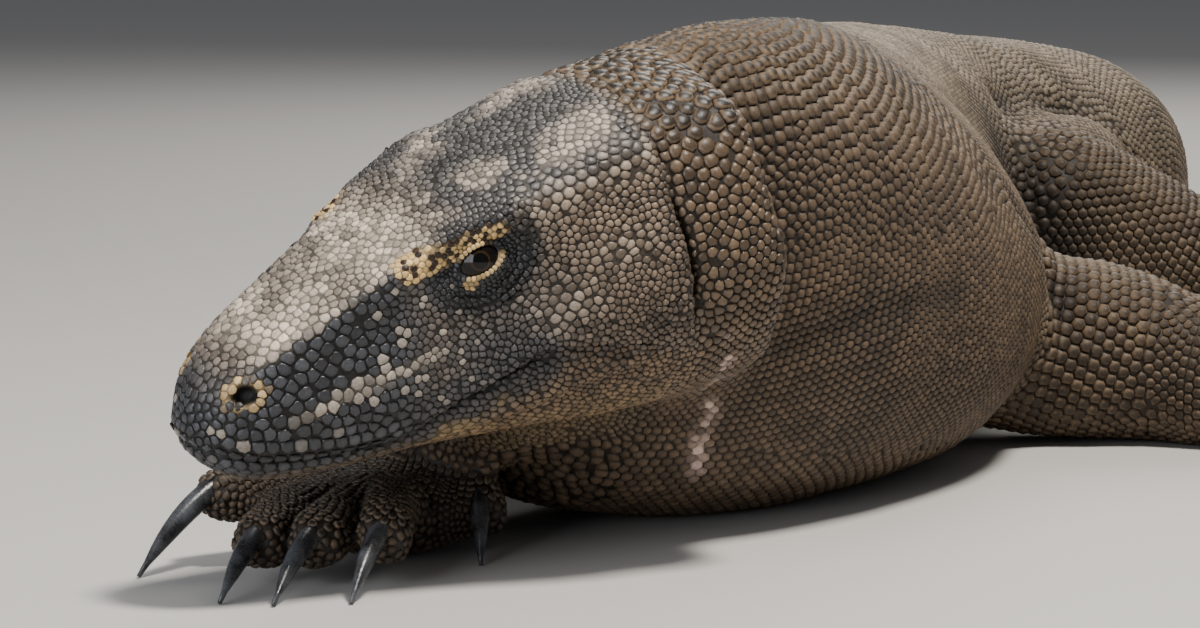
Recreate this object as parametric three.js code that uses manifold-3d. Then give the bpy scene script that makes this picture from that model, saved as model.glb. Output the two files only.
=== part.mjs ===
// A komodo dragon lying at rest, life size, as a museum model.
// The chin rests on the right forefoot, the neck bends to the animal's right, the left
// arm lies out to the side, the left knee is drawn up by the flank and the tail curls
// round behind. Millimetres, +Z up, standing on z = 0.
//
// The shapes are first set out in a layout frame (chest towards -Y, head towards -X), and
// the finished group is moved so that its origin is the middle of its footprint.
import * as THREE from "three";
import { mergeVertices } from "three/addons/utils/BufferGeometryUtils.js";
import Module from "manifold-3d";

const wasm = await Module();
wasm.setup();

// ---------------------------------------------------------------- driving sizes
const GAP = 0.3; // clearance cut between neighbouring solids
const SINK = 3; // how far a resting form is let into the floor before it is cut flat
const TIP_LIFT = 0.6; // height of a claw's point above the floor

// Head: ear to snout tip, and how the head is held.
const HEAD = {
  length: 222,
  ear: new THREE.Vector3(12, 91, 128), // point midway between the ears
  yaw: 33, // turned to the animal's left, out of the -X direction
  noseDown: 14.7,
  roll: 16, // crown leaning to the animal's left
};
const EYE = { radius: 13, along: 96, side: 34, up: 46 };
const MOUTH_CORNER_AT = 72;

// ---------------------------------------------------------------- solids
const v3 = (x, y, z) => new THREE.Vector3(x, y, z);
const UP = v3(0, 0, 1);

function signedVolume(points, triangles) {
  const [a, b, c] = [v3(), v3(), v3()];
  let six = 0;
  for (let i = 0; i < triangles.length; i += 3) {
    a.fromArray(points, 3 * triangles[i]);
    b.fromArray(points, 3 * triangles[i + 1]);
    c.fromArray(points, 3 * triangles[i + 2]);
    six += a.dot(b.cross(c));
  }
  return six;
}

// A closed solid from shared points and triangles, turned to face outwards.
function solid(points, triangles) {
  const faces = [...triangles];
  if (signedVolume(points, faces) < 0) faces.reverse();
  return new wasm.Manifold(
    new wasm.Mesh({
      numProp: 3,
      vertProperties: new Float32Array(points),
      triVerts: new Uint32Array(faces),
    }),
  );
}

const centreOf = (ring) => ring.reduce((sum, p) => sum.add(p), v3()).divideScalar(ring.length);

// A closed solid stretched over rings of points, with a fan on each end.
function loft(rings) {
  const sides = rings[0].length;
  const points = rings.flat().flatMap((p) => [p.x, p.y, p.z]);
  const triangles = [];
  for (let r = 0; r + 1 < rings.length; r++)
    for (let i = 0; i < sides; i++) {
      const [a, b] = [r * sides + i, r * sides + ((i + 1) % sides)];
      triangles.push(a, b, b + sides, a, b + sides, a + sides);
    }
  [0, rings.length - 1].forEach((r) => {
    const middle = centreOf(rings[r]);
    const hub = points.push(middle.x, middle.y, middle.z) / 3 - 1;
    for (let i = 0; i < sides; i++) {
      const pair = [r * sides + i, r * sides + ((i + 1) % sides)];
      if (r === 0) pair.reverse();
      triangles.push(...pair, hub);
    }
  });
  return solid(points, triangles);
}

// Everything below the floor, as one block far larger than the animal.
const FAR = 3000;
const FLOOR = loft(
  [-FAR, FAR].map((x) => [v3(x, -FAR, 0), v3(x, FAR, 0), v3(x, FAR, -FAR), v3(x, -FAR, -FAR)]),
);

// ---------------------------------------------------------------- tubes of flesh
// A smooth value along a list of keys: key i is reached at t = i.
function alongKeys(rows, t) {
  const last = rows.length - 1;
  const i = Math.min(Math.floor(t), last - 1);
  const f = t - i;
  const at = (k) => rows[Math.max(0, Math.min(last, k))];
  const ends = (k, c) => {
    if (k < 0) return 2 * at(0)[c] - at(1)[c];
    return k > last ? 2 * at(last)[c] - at(last - 1)[c] : at(k)[c];
  };
  return rows[0].map((_, c) => {
    const [p, q, r, s] = [ends(i - 1, c), at(i)[c], at(i + 1)[c], ends(i + 2, c)];
    return q + 0.5 * f * (r - p + f * (2 * p - 5 * q + 4 * r - s + f * (3 * (q - r) + s - p)));
  });
}

// A rounded section: squarer than an oval low down, as flesh is that lies on the ground.
const SQUARE = { above: 1.95, below: 2.4 };
const WIDEST_AT = 0.42; // a lying form is widest at this share of its height
function roundedSection(halfWidth, rise, depth, sides, above) {
  return Array.from({ length: sides }, (_, i) => {
    const angle = (2 * Math.PI * i) / sides;
    const [across, high] = [Math.cos(angle), Math.sin(angle)];
    const power = 2 / (high > 0 ? above : SQUARE.below);
    const shaped = (value) => Math.sign(value) * Math.abs(value) ** power;
    return [halfWidth * shaped(across), (high > 0 ? rise : depth) * shaped(high)];
  });
}

// keys: rows of [x, y, z, halfWidth, rise, depth, leanX, leanY, above]; sections stand
// square to the run, the lean moves a point of the section for each mm of its height, and
// above says how square the section's upper half is.
const RUN_STEP = 0.02; // the run is taken over this much of a key either way
function tubeRings(keys, from, to, steps, sides, grow = 0) {
  const rings = [];
  for (let i = 0; i <= steps; i++) {
    const t = from + ((to - from) * i) / steps;
    const [x, y, z, halfWidth, rise, depth, leanX = 0, leanY = 0, above = SQUARE.above] =
      alongKeys(keys, t);
    const before = alongKeys(keys, Math.max(0, t - RUN_STEP));
    const after = alongKeys(keys, Math.min(keys.length - 1, t + RUN_STEP));
    const run = v3(after[0] - before[0], after[1] - before[1], after[2] - before[2]).normalize();
    const side = v3().crossVectors(run, UP).normalize();
    const up = v3().crossVectors(side, run);
    const centre = v3(x, y, z);
    if (i === 0 && from > 0) centre.addScaledVector(run, GAP / 2);
    if (i === steps && to < keys.length - 1) centre.addScaledVector(run, -GAP / 2);
    up.add(v3(leanX, leanY, 0));
    rings.push(
      roundedSection(halfWidth + grow, rise + grow, depth + grow, sides, above).map(([a, b]) =>
        centre.clone().addScaledVector(side, a).addScaledVector(up, b),
      ),
    );
  }
  return rings;
}

// The ring after `last`, `ahead` further on and shrunk to a share of its size.
function nextRing(before, last, ahead, share = 1) {
  const centre = centreOf(last);
  const move = centre.clone().sub(centreOf(before)).setLength(ahead);
  return last.map((p) => centre.clone().lerp(p, share).add(move));
}

// A tube; one that is grown also reaches further at both ends.
function tube(keys, from, to, steps, sides, grow = 0) {
  const rings = tubeRings(keys, from, to, steps, sides, grow);
  if (!grow) return loft(rings);
  const start = nextRing(rings[1], rings[0], grow);
  return loft([start, ...rings, nextRing(rings.at(-2), rings.at(-1), grow)]);
}

// One length of a limb, round at both ends where it meets the next.
function limbLength(keys, grow = 0) {
  const rings = tubeRings(keys, 0, keys.length - 1, LIMB_STEPS, LIMB_SIDES, grow);
  const rounded = (before, last) => {
    const centre = centreOf(last);
    const reach = Math.min(...last.map((p) => p.distanceTo(centre))) + grow;
    return nextRing(before, last, reach * Math.sin(LIMB_END), Math.cos(LIMB_END));
  };
  return loft([rounded(rings[1], rings[0]), ...rings, rounded(rings.at(-2), rings.at(-1))]);
}

// A key of a form that lies on the floor: place, height of the back, half width, lean of
// the crown, and how far the underside is lifted clear of the floor.
function lyingKey([x, y, height, halfWidth, leanX = 0, leanY = 0, lift = 0, above = SQUARE.above]) {
  const middle = lift + WIDEST_AT * (height - lift);
  const depth = middle - lift + (lift ? 0 : SINK);
  return [x, y, middle, halfWidth, height - middle, depth, leanX, leanY, above];
}

// ---------------------------------------------------------------- neck, trunk and tail
// Each row: x, y of the middle line, height, half width, lean x and y, lift.
const BODY = [
  [-70, 84, 132, 46, 0.18, -0.32, 40],
  [-34, 114, 206, 60, 0.18, -0.32, 22],
  [10, 160, 223.5, 84, 0.2, -0.3, 4],
  [50, 208, 225, 92, 0.12, -0.22],
  [82, 274, 222.5, 100, 0.02, -0.12, 0, 1.8],
  [103, 352, 219, 110, -0.04, -0.04, 0, 1.6],
  [113, 440, 215.5, 117, 0, 0, 0, 1.45], // 6: neck meets chest
  [115, 540, 204, 107, 0, 0, 0, 1.7],
  [121, 650, 202, 103, 0, 0, 0, 1.9], // 8: chest meets abdomen
  [136, 765, 201.5, 101, 0, 0, 0, 2],
  [168, 880, 195, 106, 0, 0, 0, 2.1],
  [224, 982, 184, 112, 0, 0, 0, 2.2], // 11: abdomen meets pelvis
  [284, 1062, 173, 113, 0, 0, 0, 2.3],
  [324, 1138, 148, 80, 0, 0, 0, 2.2], // 13: pelvis meets tail
  [348, 1222, 118, 59],
  [346, 1316, 98, 48],
  [314, 1408, 83, 40], // 16
  [252, 1490, 70, 34],
  [166, 1548, 60, 28],
  [66, 1570, 51, 23], // 19
  [-34, 1554, 43, 19],
  [-124, 1498, 36, 15],
  [-186, 1412, 29, 12], // 22
  [-214, 1312, 22, 9],
  [-208, 1208, 15, 6.5],
  [-180, 1106, 8, 4.5],
].map(lyingKey);
const NODES_OF_BODY = [
  // name, first key, last key, steps, sides
  ["neck", 0, 6, 11, 20],
  ["chest", 6, 8, 3, 16],
  ["abdomen", 8, 11, 6, 16],
  ["pelvis", 11, 13, 4, 16],
  ["tail_1", 13, 16, 5, 12],
  ["tail_2", 16, 19, 6, 10],
  ["tail_3", 19, 22, 6, 8],
  ["tail_4", 22, 25, 6, 6],
];

// ---------------------------------------------------------------- head
// Each row: distance ahead of the ears, then the half outline of the section from crown to
// throat: crown height; canthus half width, height; cheek half width, height; lip half
// width, height; jaw half width, height; throat height.
const HEAD_KEYS = [
  [-34, 81.5, 48, 70.5, 66, 38, 70, 2, 50, -44, -58],
  [0, 82.5, 45, 71.5, 66, 36, 70, 0, 48, -44, -56],
  [34, 83.5, 43, 72.5, 60, 38, 66, 2, 44, -42, -52],
  [66, 78.5, 41, 70, 50, 40, 58, 4, 38, -38, -47],
  [96, 73, 39, 68, 42, 42, 49, 2, 33, -34, -42],
  [124, 62, 31, 57, 37, 35, 43, -4, 29, -31, -39],
  [152, 51, 27, 45, 33, 28, 38, -8, 25, -30, -36],
  [178, 40, 24, 34, 31, 21, 34, -9, 22, -28, -33],
  [198, 31, 20, 26, 27, 14, 29, -8, 18, -24, -29],
  [210, 23, 15, 18, 22, 9, 23, -6, 13, -18, -22],
  [217, 14, 9, 11, 14, 5, 14, -3, 8, -11, -14],
];
const HEAD_SIDES_HALF = 11;
const HEAD_RINGS = 14;
const CROWN = { share: 0.62, drop: 1.5 }; // the crown is nearly flat over this share
const SNOUT_END = { shrink: 0.45, reach: 0.8 }; // the last ring, beyond the last key
const HEAD_GROW = 1.5; // sections stand askew to the skin, so they are grown by more

function headMatrix() {
  const [yaw, down, roll] = [HEAD.yaw, HEAD.noseDown, HEAD.roll].map(THREE.MathUtils.degToRad);
  const level = v3(-Math.cos(yaw), -Math.sin(yaw), 0);
  const across = v3().crossVectors(UP, level);
  const forward = level.clone().multiplyScalar(Math.cos(down)).addScaledVector(UP, -Math.sin(down));
  const crown = v3().crossVectors(forward, across);
  const left = across.clone().multiplyScalar(Math.cos(roll)).addScaledVector(crown, -Math.sin(roll));
  const up = v3().crossVectors(forward, left);
  return new THREE.Matrix4().makeBasis(forward, left, up).setPosition(HEAD.ear);
}
const HEAD_MATRIX = headMatrix();
const inHead = (forward, left, up) => v3(forward, left, up).applyMatrix4(HEAD_MATRIX);

function headRing(key, grow) {
  const [x, crown, cw, cz, kw, kz, lw, lz, jw, jz, throat] = key;
  const half = new THREE.CatmullRomCurve3(
    [
      v3(-cw * CROWN.share, crown - CROWN.drop, 0),
      v3(0, crown, 0),
      v3(cw * CROWN.share, crown - CROWN.drop, 0),
      v3(cw, cz, 0),
      v3(kw, kz, 0),
      v3(lw, lz, 0),
      v3(jw, jz, 0),
      v3(0, throat, 0),
      v3(-jw, jz, 0),
    ],
    false,
    "centripetal",
  );
  const ring = []; // from the second point of the curve, the crown, to the last but one
  const spans = half.points.length - 1;
  for (let i = 0; i <= HEAD_SIDES_HALF; i++) {
    const p = half.getPoint((1 + ((spans - 2) * i) / HEAD_SIDES_HALF) / spans);
    ring.push([Math.max(0, p.x), p.y]);
  }
  ring[0][0] = 0;
  ring[HEAD_SIDES_HALF][0] = 0;
  const mirrored = ring.slice(1, -1).reverse().map(([a, b]) => [-a, b]);
  const middle = (crown + throat) / 2;
  return [...ring, ...mirrored].map(([a, b]) => {
    const reach = Math.hypot(a, b - middle) || 1;
    const scale = 1 + grow / reach;
    return inHead(x, a * scale, middle + (b - middle) * scale);
  });
}

function wholeHead(grow = 0) {
  const last = HEAD_KEYS.length - 1;
  const rings = [];
  for (let i = 0; i <= HEAD_RINGS; i++) {
    const share = i / HEAD_RINGS;
    const [x, ...outline] = alongKeys(HEAD_KEYS, last * share);
    rings.push(headRing([i === 0 ? x - grow : x, ...outline], HEAD_GROW * grow));
  }
  const snout = rings[HEAD_RINGS];
  const middle = centreOf(snout);
  const tip = inHead(HEAD.length + grow, 0, 0).sub(inHead(HEAD_KEYS[last][0], 0, 0));
  rings.push(
    snout.map((p) => p.clone().lerp(middle, SNOUT_END.shrink).addScaledVector(tip, SNOUT_END.reach)),
  );
  return loft(rings);
}

// The mouth line in side view, from in front of the snout back to the corner, and on to
// the nape below the ear, where the jaw's muscles end.
const MOUTH_LINE = [
  [260, -6],
  [220, -8],
  [195, -13],
  [160, -18],
  [128, -13],
  [100, -5],
  [MOUTH_CORNER_AT, 3],
  [40, -2],
  [10, -14],
  [-40, -32],
];

// A sheet that hangs down from the mouth line, right across the head.
function mouthCut(thickness) {
  const line = new THREE.CatmullRomCurve3(MOUTH_LINE.map(([x, z]) => v3(x, 0, z)));
  const top = line.getPoints(15);
  const low = top.map((p) => v3(p.x, 0, p.z - thickness)).reverse();
  const outline = [...top, ...low];
  return loft([-HEAD.length, HEAD.length].map((y) => outline.map((p) => inHead(p.x, y, p.z))));
}

// ---------------------------------------------------------------- limbs
// Keys as for the tubes: x, y, z of the middle, half width, rise, depth.
const LIMB_SIDES = 10;
const LIMB_STEPS = 4;
const LIMB_END = THREE.MathUtils.degToRad(48); // how far round the end of a length goes
const LIMBS = {
  upper_arm_left: [
    [168, 436, 67, 50, 45, 52],
    [208, 440, 58, 48, 43, 54],
    [250, 442, 50, 45, 44, 50],
    [286, 440, 42, 40, 40, 43],
  ],
  forearm_left: [
    [292, 436, 41, 38, 37, 42],
    [330, 420, 36, 36, 33, 38],
    [368, 396, 31, 31, 27, 33],
    [400, 368, 26, 25, 21, 28],
  ],
  thigh_left: [
    [284, 1020, 88, 48, 50, 50],
    [298, 960, 92, 50, 48, 54],
    [286, 900, 96, 49, 45, 54],
    [270, 848, 97, 44, 42, 48],
  ],
  shank_left: [
    [272, 844, 96, 42, 42, 46],
    [320, 836, 77, 41, 37, 44],
    [368, 842, 54, 35, 32, 38],
    [410, 856, 34, 27, 25, 32],
  ],
  upper_arm_right: [
    [62, 420, 72, 50, 46, 50],
    [8, 400, 62, 47, 44, 50],
    [-50, 362, 54, 44, 41, 46],
    [-92, 322, 47, 39, 37, 42],
  ],
  forearm_right: [
    [-96, 314, 46, 37, 36, 42],
    [-104, 266, 40, 34, 32, 40],
    [-96, 218, 34, 29, 24, 34],
    [-84, 172, 27, 25, 18, 28],
  ],
  thigh_right: [
    [200, 1070, 80, 44, 46, 48],
    [140, 1066, 86, 50, 48, 54],
    [80, 1040, 90, 48, 46, 54],
    [40, 1014, 90, 43, 43, 48],
  ],
  shank_right: [
    [36, 1016, 88, 41, 43, 46],
    [2, 1056, 72, 42, 38, 44],
    [-28, 1100, 50, 35, 33, 38],
    [-48, 1140, 32, 27, 24, 32],
  ],
};

// A hand or foot: where the wrist is, and each digit from the palm to its claw.
// Each digit is root, knuckle, claw base and claw point.
const RIGHT_HAND = {
  wrist: [-84, 172, 26],
  palm: [-92, 98, 22],
  palmHalfWidth: 36,
  digits: [
    [[-66, 116, 22], [-52, 110, 20], [-50, 94, 18], [-51, 72, 0]],
    [[-84, 92, 26], [-91, 54, 26], [-89, 22, 20], [-100, -15, 0]],
    [[-98, 92, 26], [-112, 54, 26], [-118, 21, 18], [-131, -20, 0]],
    [[-110, 96, 25], [-130, 60, 25], [-141, 24, 18], [-153, -15, 0]],
    [[-116, 108, 26], [-143, 90, 30], [-164, 74, 30], [-192, 44, 0]],
  ],
};

// The other feet are laid out on a fan from the wrist or ankle: digit 1 is the inner one,
// and outer is 1 on the left side of the body and -1 on the right.
const FAN_ROOTS = { ahead: 0.72, spread: 0.75 }; // shares of the palm's length and width
const FAN_STATIONS = [[0, 19], [0.4, 21], [0.72, 17], [1.2, 0]]; // share of reach, height
const FAN_PALM_UP = 18;
function fanOfDigits({ wrist, heading, outer, palmLength, fan, reach, width }) {
  const toWorld = (ahead, across, z) => {
    const turn = THREE.MathUtils.degToRad(heading);
    return [
      wrist[0] + ahead * Math.cos(turn) - across * Math.sin(turn),
      wrist[1] + ahead * Math.sin(turn) + across * Math.cos(turn),
      z,
    ];
  };
  const middleDigit = (reach.length - 1) / 2;
  const digits = reach.map((length, i) => {
    const angle = THREE.MathUtils.degToRad(outer * fan[i]);
    const ahead = palmLength * FAN_ROOTS.ahead;
    const across = (outer * width * FAN_ROOTS.spread * (i - middleDigit)) / middleDigit;
    return FAN_STATIONS.map(([share, z]) =>
      toWorld(
        ahead + share * length * Math.cos(angle),
        across + share * length * Math.sin(angle),
        z,
      ),
    );
  });
  return { wrist, palm: toWorld(palmLength, 0, FAN_PALM_UP), palmHalfWidth: width, digits };
}

const HANDS_AND_FEET = {
  hand_right: RIGHT_HAND,
  hand_left: fanOfDigits({
    wrist: [400, 368, 26],
    heading: -40,
    outer: 1,
    palmLength: 46,
    fan: [-50, -24, -2, 20, 48],
    reach: [46, 62, 68, 66, 50],
    width: 32,
  }),
  foot_left: fanOfDigits({
    wrist: [410, 856, 32],
    heading: -62,
    outer: 1,
    palmLength: 62,
    fan: [-36, -16, 0, 18, 52],
    reach: [54, 72, 86, 96, 62],
    width: 33,
  }),
  foot_right: fanOfDigits({
    wrist: [-48, 1140, 32],
    heading: 160,
    outer: -1,
    palmLength: 62,
    fan: [-36, -16, 0, 18, 52],
    reach: [54, 72, 86, 96, 62],
    width: 33,
  }),
};

const DIGIT = { radii: [15, 14.5, 13.5, 9], noseReach: 0.2, sides: 6 };
const CLAW = {
  radius: { root: 6.6, tip: 0.5, taper: 0.6 },
  wide: 0.82, // of the radius, and high too: a claw is deeper than it is wide
  high: 1.1,
  sunk: 0.12, // how far back into the digit it starts, as a share of the last bone
  hook: { at: 0.55, rise: 10 },
  sides: 5,
  steps: 3,
};

function roundTube(points, radii, sides) {
  const keys = points.map(([x, y, z], i) => [x, y, z, radii[i], radii[i], radii[i]]);
  return tube(keys, 0, keys.length - 1, keys.length - 1, sides);
}

// The fleshy digit, blunt where the claw comes out.
function digitSolid([root, knuckle, base]) {
  const nose = base.map((c, i) => c + (base[i] - knuckle[i]) * DIGIT.noseReach);
  return roundTube([root, knuckle, base, nose], DIGIT.radii, DIGIT.sides);
}

// A claw: a hooked cone from inside the digit to its point on the floor.
function clawSolid([, knuckle, base, point], grow = 0) {
  const [from, root, to] = [v3(...knuckle), v3(...base), v3(...point)];
  const start = root.clone().lerp(from, CLAW.sunk);
  const tip = v3(to.x, to.y, TIP_LIFT);
  const bow = start.clone().lerp(tip, CLAW.hook.at).addScaledVector(UP, CLAW.hook.rise);
  const curve = new THREE.QuadraticBezierCurve3(start, bow, tip);
  const rings = [];
  for (let i = 0; i <= CLAW.steps; i++) {
    const t = i / CLAW.steps;
    const run = curve.getTangent(t);
    const side = v3().crossVectors(run, UP).normalize();
    const up = v3().crossVectors(side, run);
    const thinning = (1 - t) ** CLAW.radius.taper;
    const radius = CLAW.radius.root * thinning + CLAW.radius.tip + grow / CLAW.wide;
    const centre = curve.getPoint(t);
    rings.push(
      Array.from({ length: CLAW.sides }, (_, k) => {
        const angle = (2 * Math.PI * (k + 0.5)) / CLAW.sides;
        return centre
          .clone()
          .addScaledVector(side, CLAW.wide * radius * Math.cos(angle))
          .addScaledVector(up, CLAW.high * radius * Math.sin(angle));
      }),
    );
  }
  return loft(rings);
}

// The palm or sole: share of the way from the wrist to the palm, half width and rise.
const PALM_SIDES = 8;
function palmSolid({ wrist, palm, palmHalfWidth }) {
  const [from, to] = [v3(...wrist), v3(...palm)];
  const keys = [
    [0, 25, 20, from.z + SINK],
    [0.5, 0.85 * palmHalfWidth, 17, from.z],
    [1, palmHalfWidth, 14, to.z + SINK],
    [1.25, 0.8 * palmHalfWidth, 9, to.z - SINK],
  ].map(([share, ...section]) => [...from.clone().lerp(to, share).toArray(), ...section]);
  return tube(keys, 0, keys.length - 1, keys.length, PALM_SIDES);
}

// ---------------------------------------------------------------- assembling
const FINISHES = {
  hide: { color: 0x5d564b, roughness: 0.78 },
  snout: { color: 0x4a4842, roughness: 0.7 },
  throat: { color: 0x7a6a48, roughness: 0.8 },
  claw: { color: 0x2b2c2f, roughness: 0.38 },
  eye: { color: 0x17110c, roughness: 0.12 },
};

function meshOf(name, made, finish) {
  const { vertProperties, triVerts } = made.getMesh();
  const geometry = new THREE.BufferGeometry();
  geometry.setAttribute("position", new THREE.BufferAttribute(vertProperties, 3));
  geometry.setIndex(new THREE.BufferAttribute(triVerts, 1));
  geometry.computeVertexNormals();
  const mesh = new THREE.Mesh(
    geometry,
    new THREE.MeshStandardMaterial({ metalness: 0, ...FINISHES[finish] }),
  );
  mesh.name = name;
  return mesh;
}

// The largest body of a cut solid, so that a sliver left by a cut is dropped.
function largest(made) {
  return made.decompose().reduce((a, b) => (a.volume() > b.volume() ? a : b));
}

function eyeSolid(side, grow = 0) {
  const ball = new THREE.SphereGeometry(EYE.radius + grow, 10, 6);
  ball.deleteAttribute("normal");
  ball.deleteAttribute("uv");
  ball.translate(EYE.along, side * EYE.side, EYE.up).applyMatrix4(HEAD_MATRIX);
  const merged = mergeVertices(ball, 1e-3);
  return solid(merged.getAttribute("position").array, merged.index.array);
}

const parts = [];
const put = (name, made, finish = "hide") =>
  parts.push(meshOf(name, largest(made.subtract(FLOOR)), finish));

// Head, jaw and eyes.
const eyes = { left: eyeSolid(1), right: eyeSolid(-1) };
let skull = wholeHead();
for (const side of [1, -1]) skull = skull.subtract(eyeSolid(side, GAP));
const belowMouth = mouthCut(HEAD.length);
const mouthGap = mouthCut(GAP);
put("head", skull.subtract(belowMouth), "snout");
put("lower_jaw", skull.intersect(belowMouth).subtract(mouthGap), "throat");
put("eye_left", eyes.left, "eye");
put("eye_right", eyes.right, "eye");

// Neck, trunk and tail, the neck cut back to the head.
const headRoom = wholeHead(GAP);
let trunkRoom = headRoom;
for (const [name, from, to, steps, sides] of NODES_OF_BODY) {
  const made = tube(BODY, from, to, steps, sides);
  put(name, name === "neck" ? made.subtract(headRoom) : made);
  trunkRoom = trunkRoom.add(tube(BODY, from, to, steps, sides, GAP));
}

// Limbs: each length is cut back to the body and to the length above it.
const limbRoom = {};
for (const [end, upper, lower] of [
  ["hand", "upper_arm", "forearm"],
  ["foot", "thigh", "shank"],
])
  for (const side of ["left", "right"]) {
    const [above, below] = [LIMBS[`${upper}_${side}`], LIMBS[`${lower}_${side}`]];
    const room = trunkRoom.add(limbLength(above, GAP));
    put(`${upper}_${side}`, limbLength(above).subtract(trunkRoom));
    put(`${lower}_${side}`, limbLength(below).subtract(room));
    limbRoom[`${end}_${side}`] = room.add(limbLength(below, GAP));
  }

for (const [name, plan] of Object.entries(HANDS_AND_FEET)) {
  let made = palmSolid(plan);
  for (const digit of plan.digits) made = made.add(digitSolid(digit));
  made = made.subtract(limbRoom[name]);
  plan.digits.forEach((digit, i) => {
    made = made.subtract(clawSolid(digit, GAP));
    put(`claw_${name}_${i + 1}`, clawSolid(digit).subtract(limbRoom[name]), "claw");
  });
  put(name, made);
}

// The origin is the middle of the footprint, on the floor.
const animal = new THREE.Group();
animal.add(...parts);
const bounds = new THREE.Box3().setFromObject(animal, true);
const middle = bounds.getCenter(v3());
animal.position.set(-middle.x, -middle.y, -bounds.min.z);

export default animal;
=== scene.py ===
"""A komodo dragon at rest, life size: hide, lids, eyes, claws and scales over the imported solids.

Shapes are worked out in millimetres in the layout frame of the solids (chest towards -Y,
head towards -X) and moved to the row frame, in metres, when a mesh is made.
"""
import math

import bmesh
import bpy
import numpy as np
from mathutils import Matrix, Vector
from mathutils.bvhtree import BVHTree
from mathutils.kdtree import KDTree


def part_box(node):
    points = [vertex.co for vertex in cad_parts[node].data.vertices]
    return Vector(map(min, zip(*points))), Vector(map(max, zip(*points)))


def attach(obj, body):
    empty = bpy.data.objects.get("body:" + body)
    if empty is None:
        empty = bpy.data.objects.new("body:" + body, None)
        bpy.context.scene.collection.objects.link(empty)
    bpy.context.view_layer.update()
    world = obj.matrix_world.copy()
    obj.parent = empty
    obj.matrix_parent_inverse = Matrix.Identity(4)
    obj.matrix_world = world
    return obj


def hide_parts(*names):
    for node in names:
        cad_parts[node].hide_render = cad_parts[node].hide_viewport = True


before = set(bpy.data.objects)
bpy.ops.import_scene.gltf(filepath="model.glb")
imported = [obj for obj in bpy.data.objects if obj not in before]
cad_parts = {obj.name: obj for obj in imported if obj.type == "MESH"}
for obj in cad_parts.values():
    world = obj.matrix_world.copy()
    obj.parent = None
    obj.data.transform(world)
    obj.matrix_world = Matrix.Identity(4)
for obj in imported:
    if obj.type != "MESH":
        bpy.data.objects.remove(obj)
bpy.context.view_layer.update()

MM = 0.001
UP = np.array([0, 0, 1.0])
LEVEL = np.array([1, 1, 0])
rng = np.random.default_rng(4026)

# ---- the pose of the head
EAR_MIDDLE = np.array([12.0, 91.0, 128.0])  # between the ears, in the layout frame
HEAD_YAW, HEAD_DOWN, HEAD_ROLL = (math.radians(a) for a in (33.0, 14.7, 16.0))
SOCKET = np.array([96.0, 34.0, 46.0])  # ahead, left and up from the ears: the solid eye's centre
EYE_CENTRE = np.array([96.5, 32.5, 46.5])
EYE_RADIUS = 11.8


def head_axes():
    """Columns: ahead, left and up of the head, in the layout frame."""
    level = np.array([-math.cos(HEAD_YAW), -math.sin(HEAD_YAW), 0.0])
    across = np.cross(UP, level)
    ahead = level * math.cos(HEAD_DOWN) - UP * math.sin(HEAD_DOWN)
    crown = np.cross(ahead, across)
    left = across * math.cos(HEAD_ROLL) - crown * math.sin(HEAD_ROLL)
    return np.column_stack([ahead, left, np.cross(ahead, left)])


HEAD_AXES = head_axes()


def from_head(points):
    return np.asarray(points, float) @ HEAD_AXES.T + EAR_MIDDLE


def to_head(points):
    return (np.asarray(points, float) - EAR_MIDDLE) @ HEAD_AXES


def folded(points):
    """Places in the head's axes with the right side laid over the left."""
    local = to_head(points)
    local[:, 1] = np.abs(local[:, 1])
    return local


LAYOUT_SHIFT = np.add(*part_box("eye_left")) / (2 * MM) - from_head(SOCKET)


def to_row(points):
    return (np.asarray(points, float) + LAYOUT_SHIFT) * MM


def to_layout(points):
    return np.array(points, float) / MM - LAYOUT_SHIFT


# ---- small tools
def unit(vectors):
    return vectors / np.maximum(np.linalg.norm(vectors, axis=-1, keepdims=True), 1e-9)


def smoothstep(value, low, high):
    t = np.clip((value - low) / (high - low), 0, 1)
    return t * t * (3 - 2 * t)


def bell(distance, width):
    return np.exp(-((distance / width) ** 2))


def arc(line):
    """A line's points, the lengths of its pieces, and how far along it each point is."""
    line = np.asarray(line, float)
    lengths = np.linalg.norm(np.diff(line, axis=0), axis=1)
    return line, lengths, np.concatenate([[0], np.cumsum(lengths)])


def places_at(at, starts, line):
    """Places on a line at given lengths along it."""
    return np.column_stack([np.interp(at, starts, column) for column in line.T])


def along_line(points, line):
    """Distance to a polyline, and how far along it (0 to 1) the nearest place is."""
    line, lengths, starts = arc(line)
    best, where = np.full(len(points), np.inf), np.zeros(len(points))
    for a, b, start, length in zip(line[:-1], line[1:], starts, lengths):
        run = b - a
        t = np.clip((points - a) @ run / (run @ run), 0, 1)
        distance = np.linalg.norm(points - a - t[:, None] * run, axis=1)
        nearer = distance < best
        best[nearer] = distance[nearer]
        where[nearer] = (start + t[nearer] * length) / starts[-1]
    return best, where


def ridge(points, line, width):
    """1 on a line, falling off to its sides."""
    return bell(along_line(points, line)[0], width)


def ridges(points, *table):
    """Ridges along lines, or grooves where the height is negative: height, line, width."""
    return sum(height * ridge(points, line, width) for height, line, width in table)


def knob(points, centre, width, squash=1):
    """1 at a place, falling off all round, further along an axis with more squash."""
    return bell(np.linalg.norm((points - centre) / squash, axis=1), width)


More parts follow.
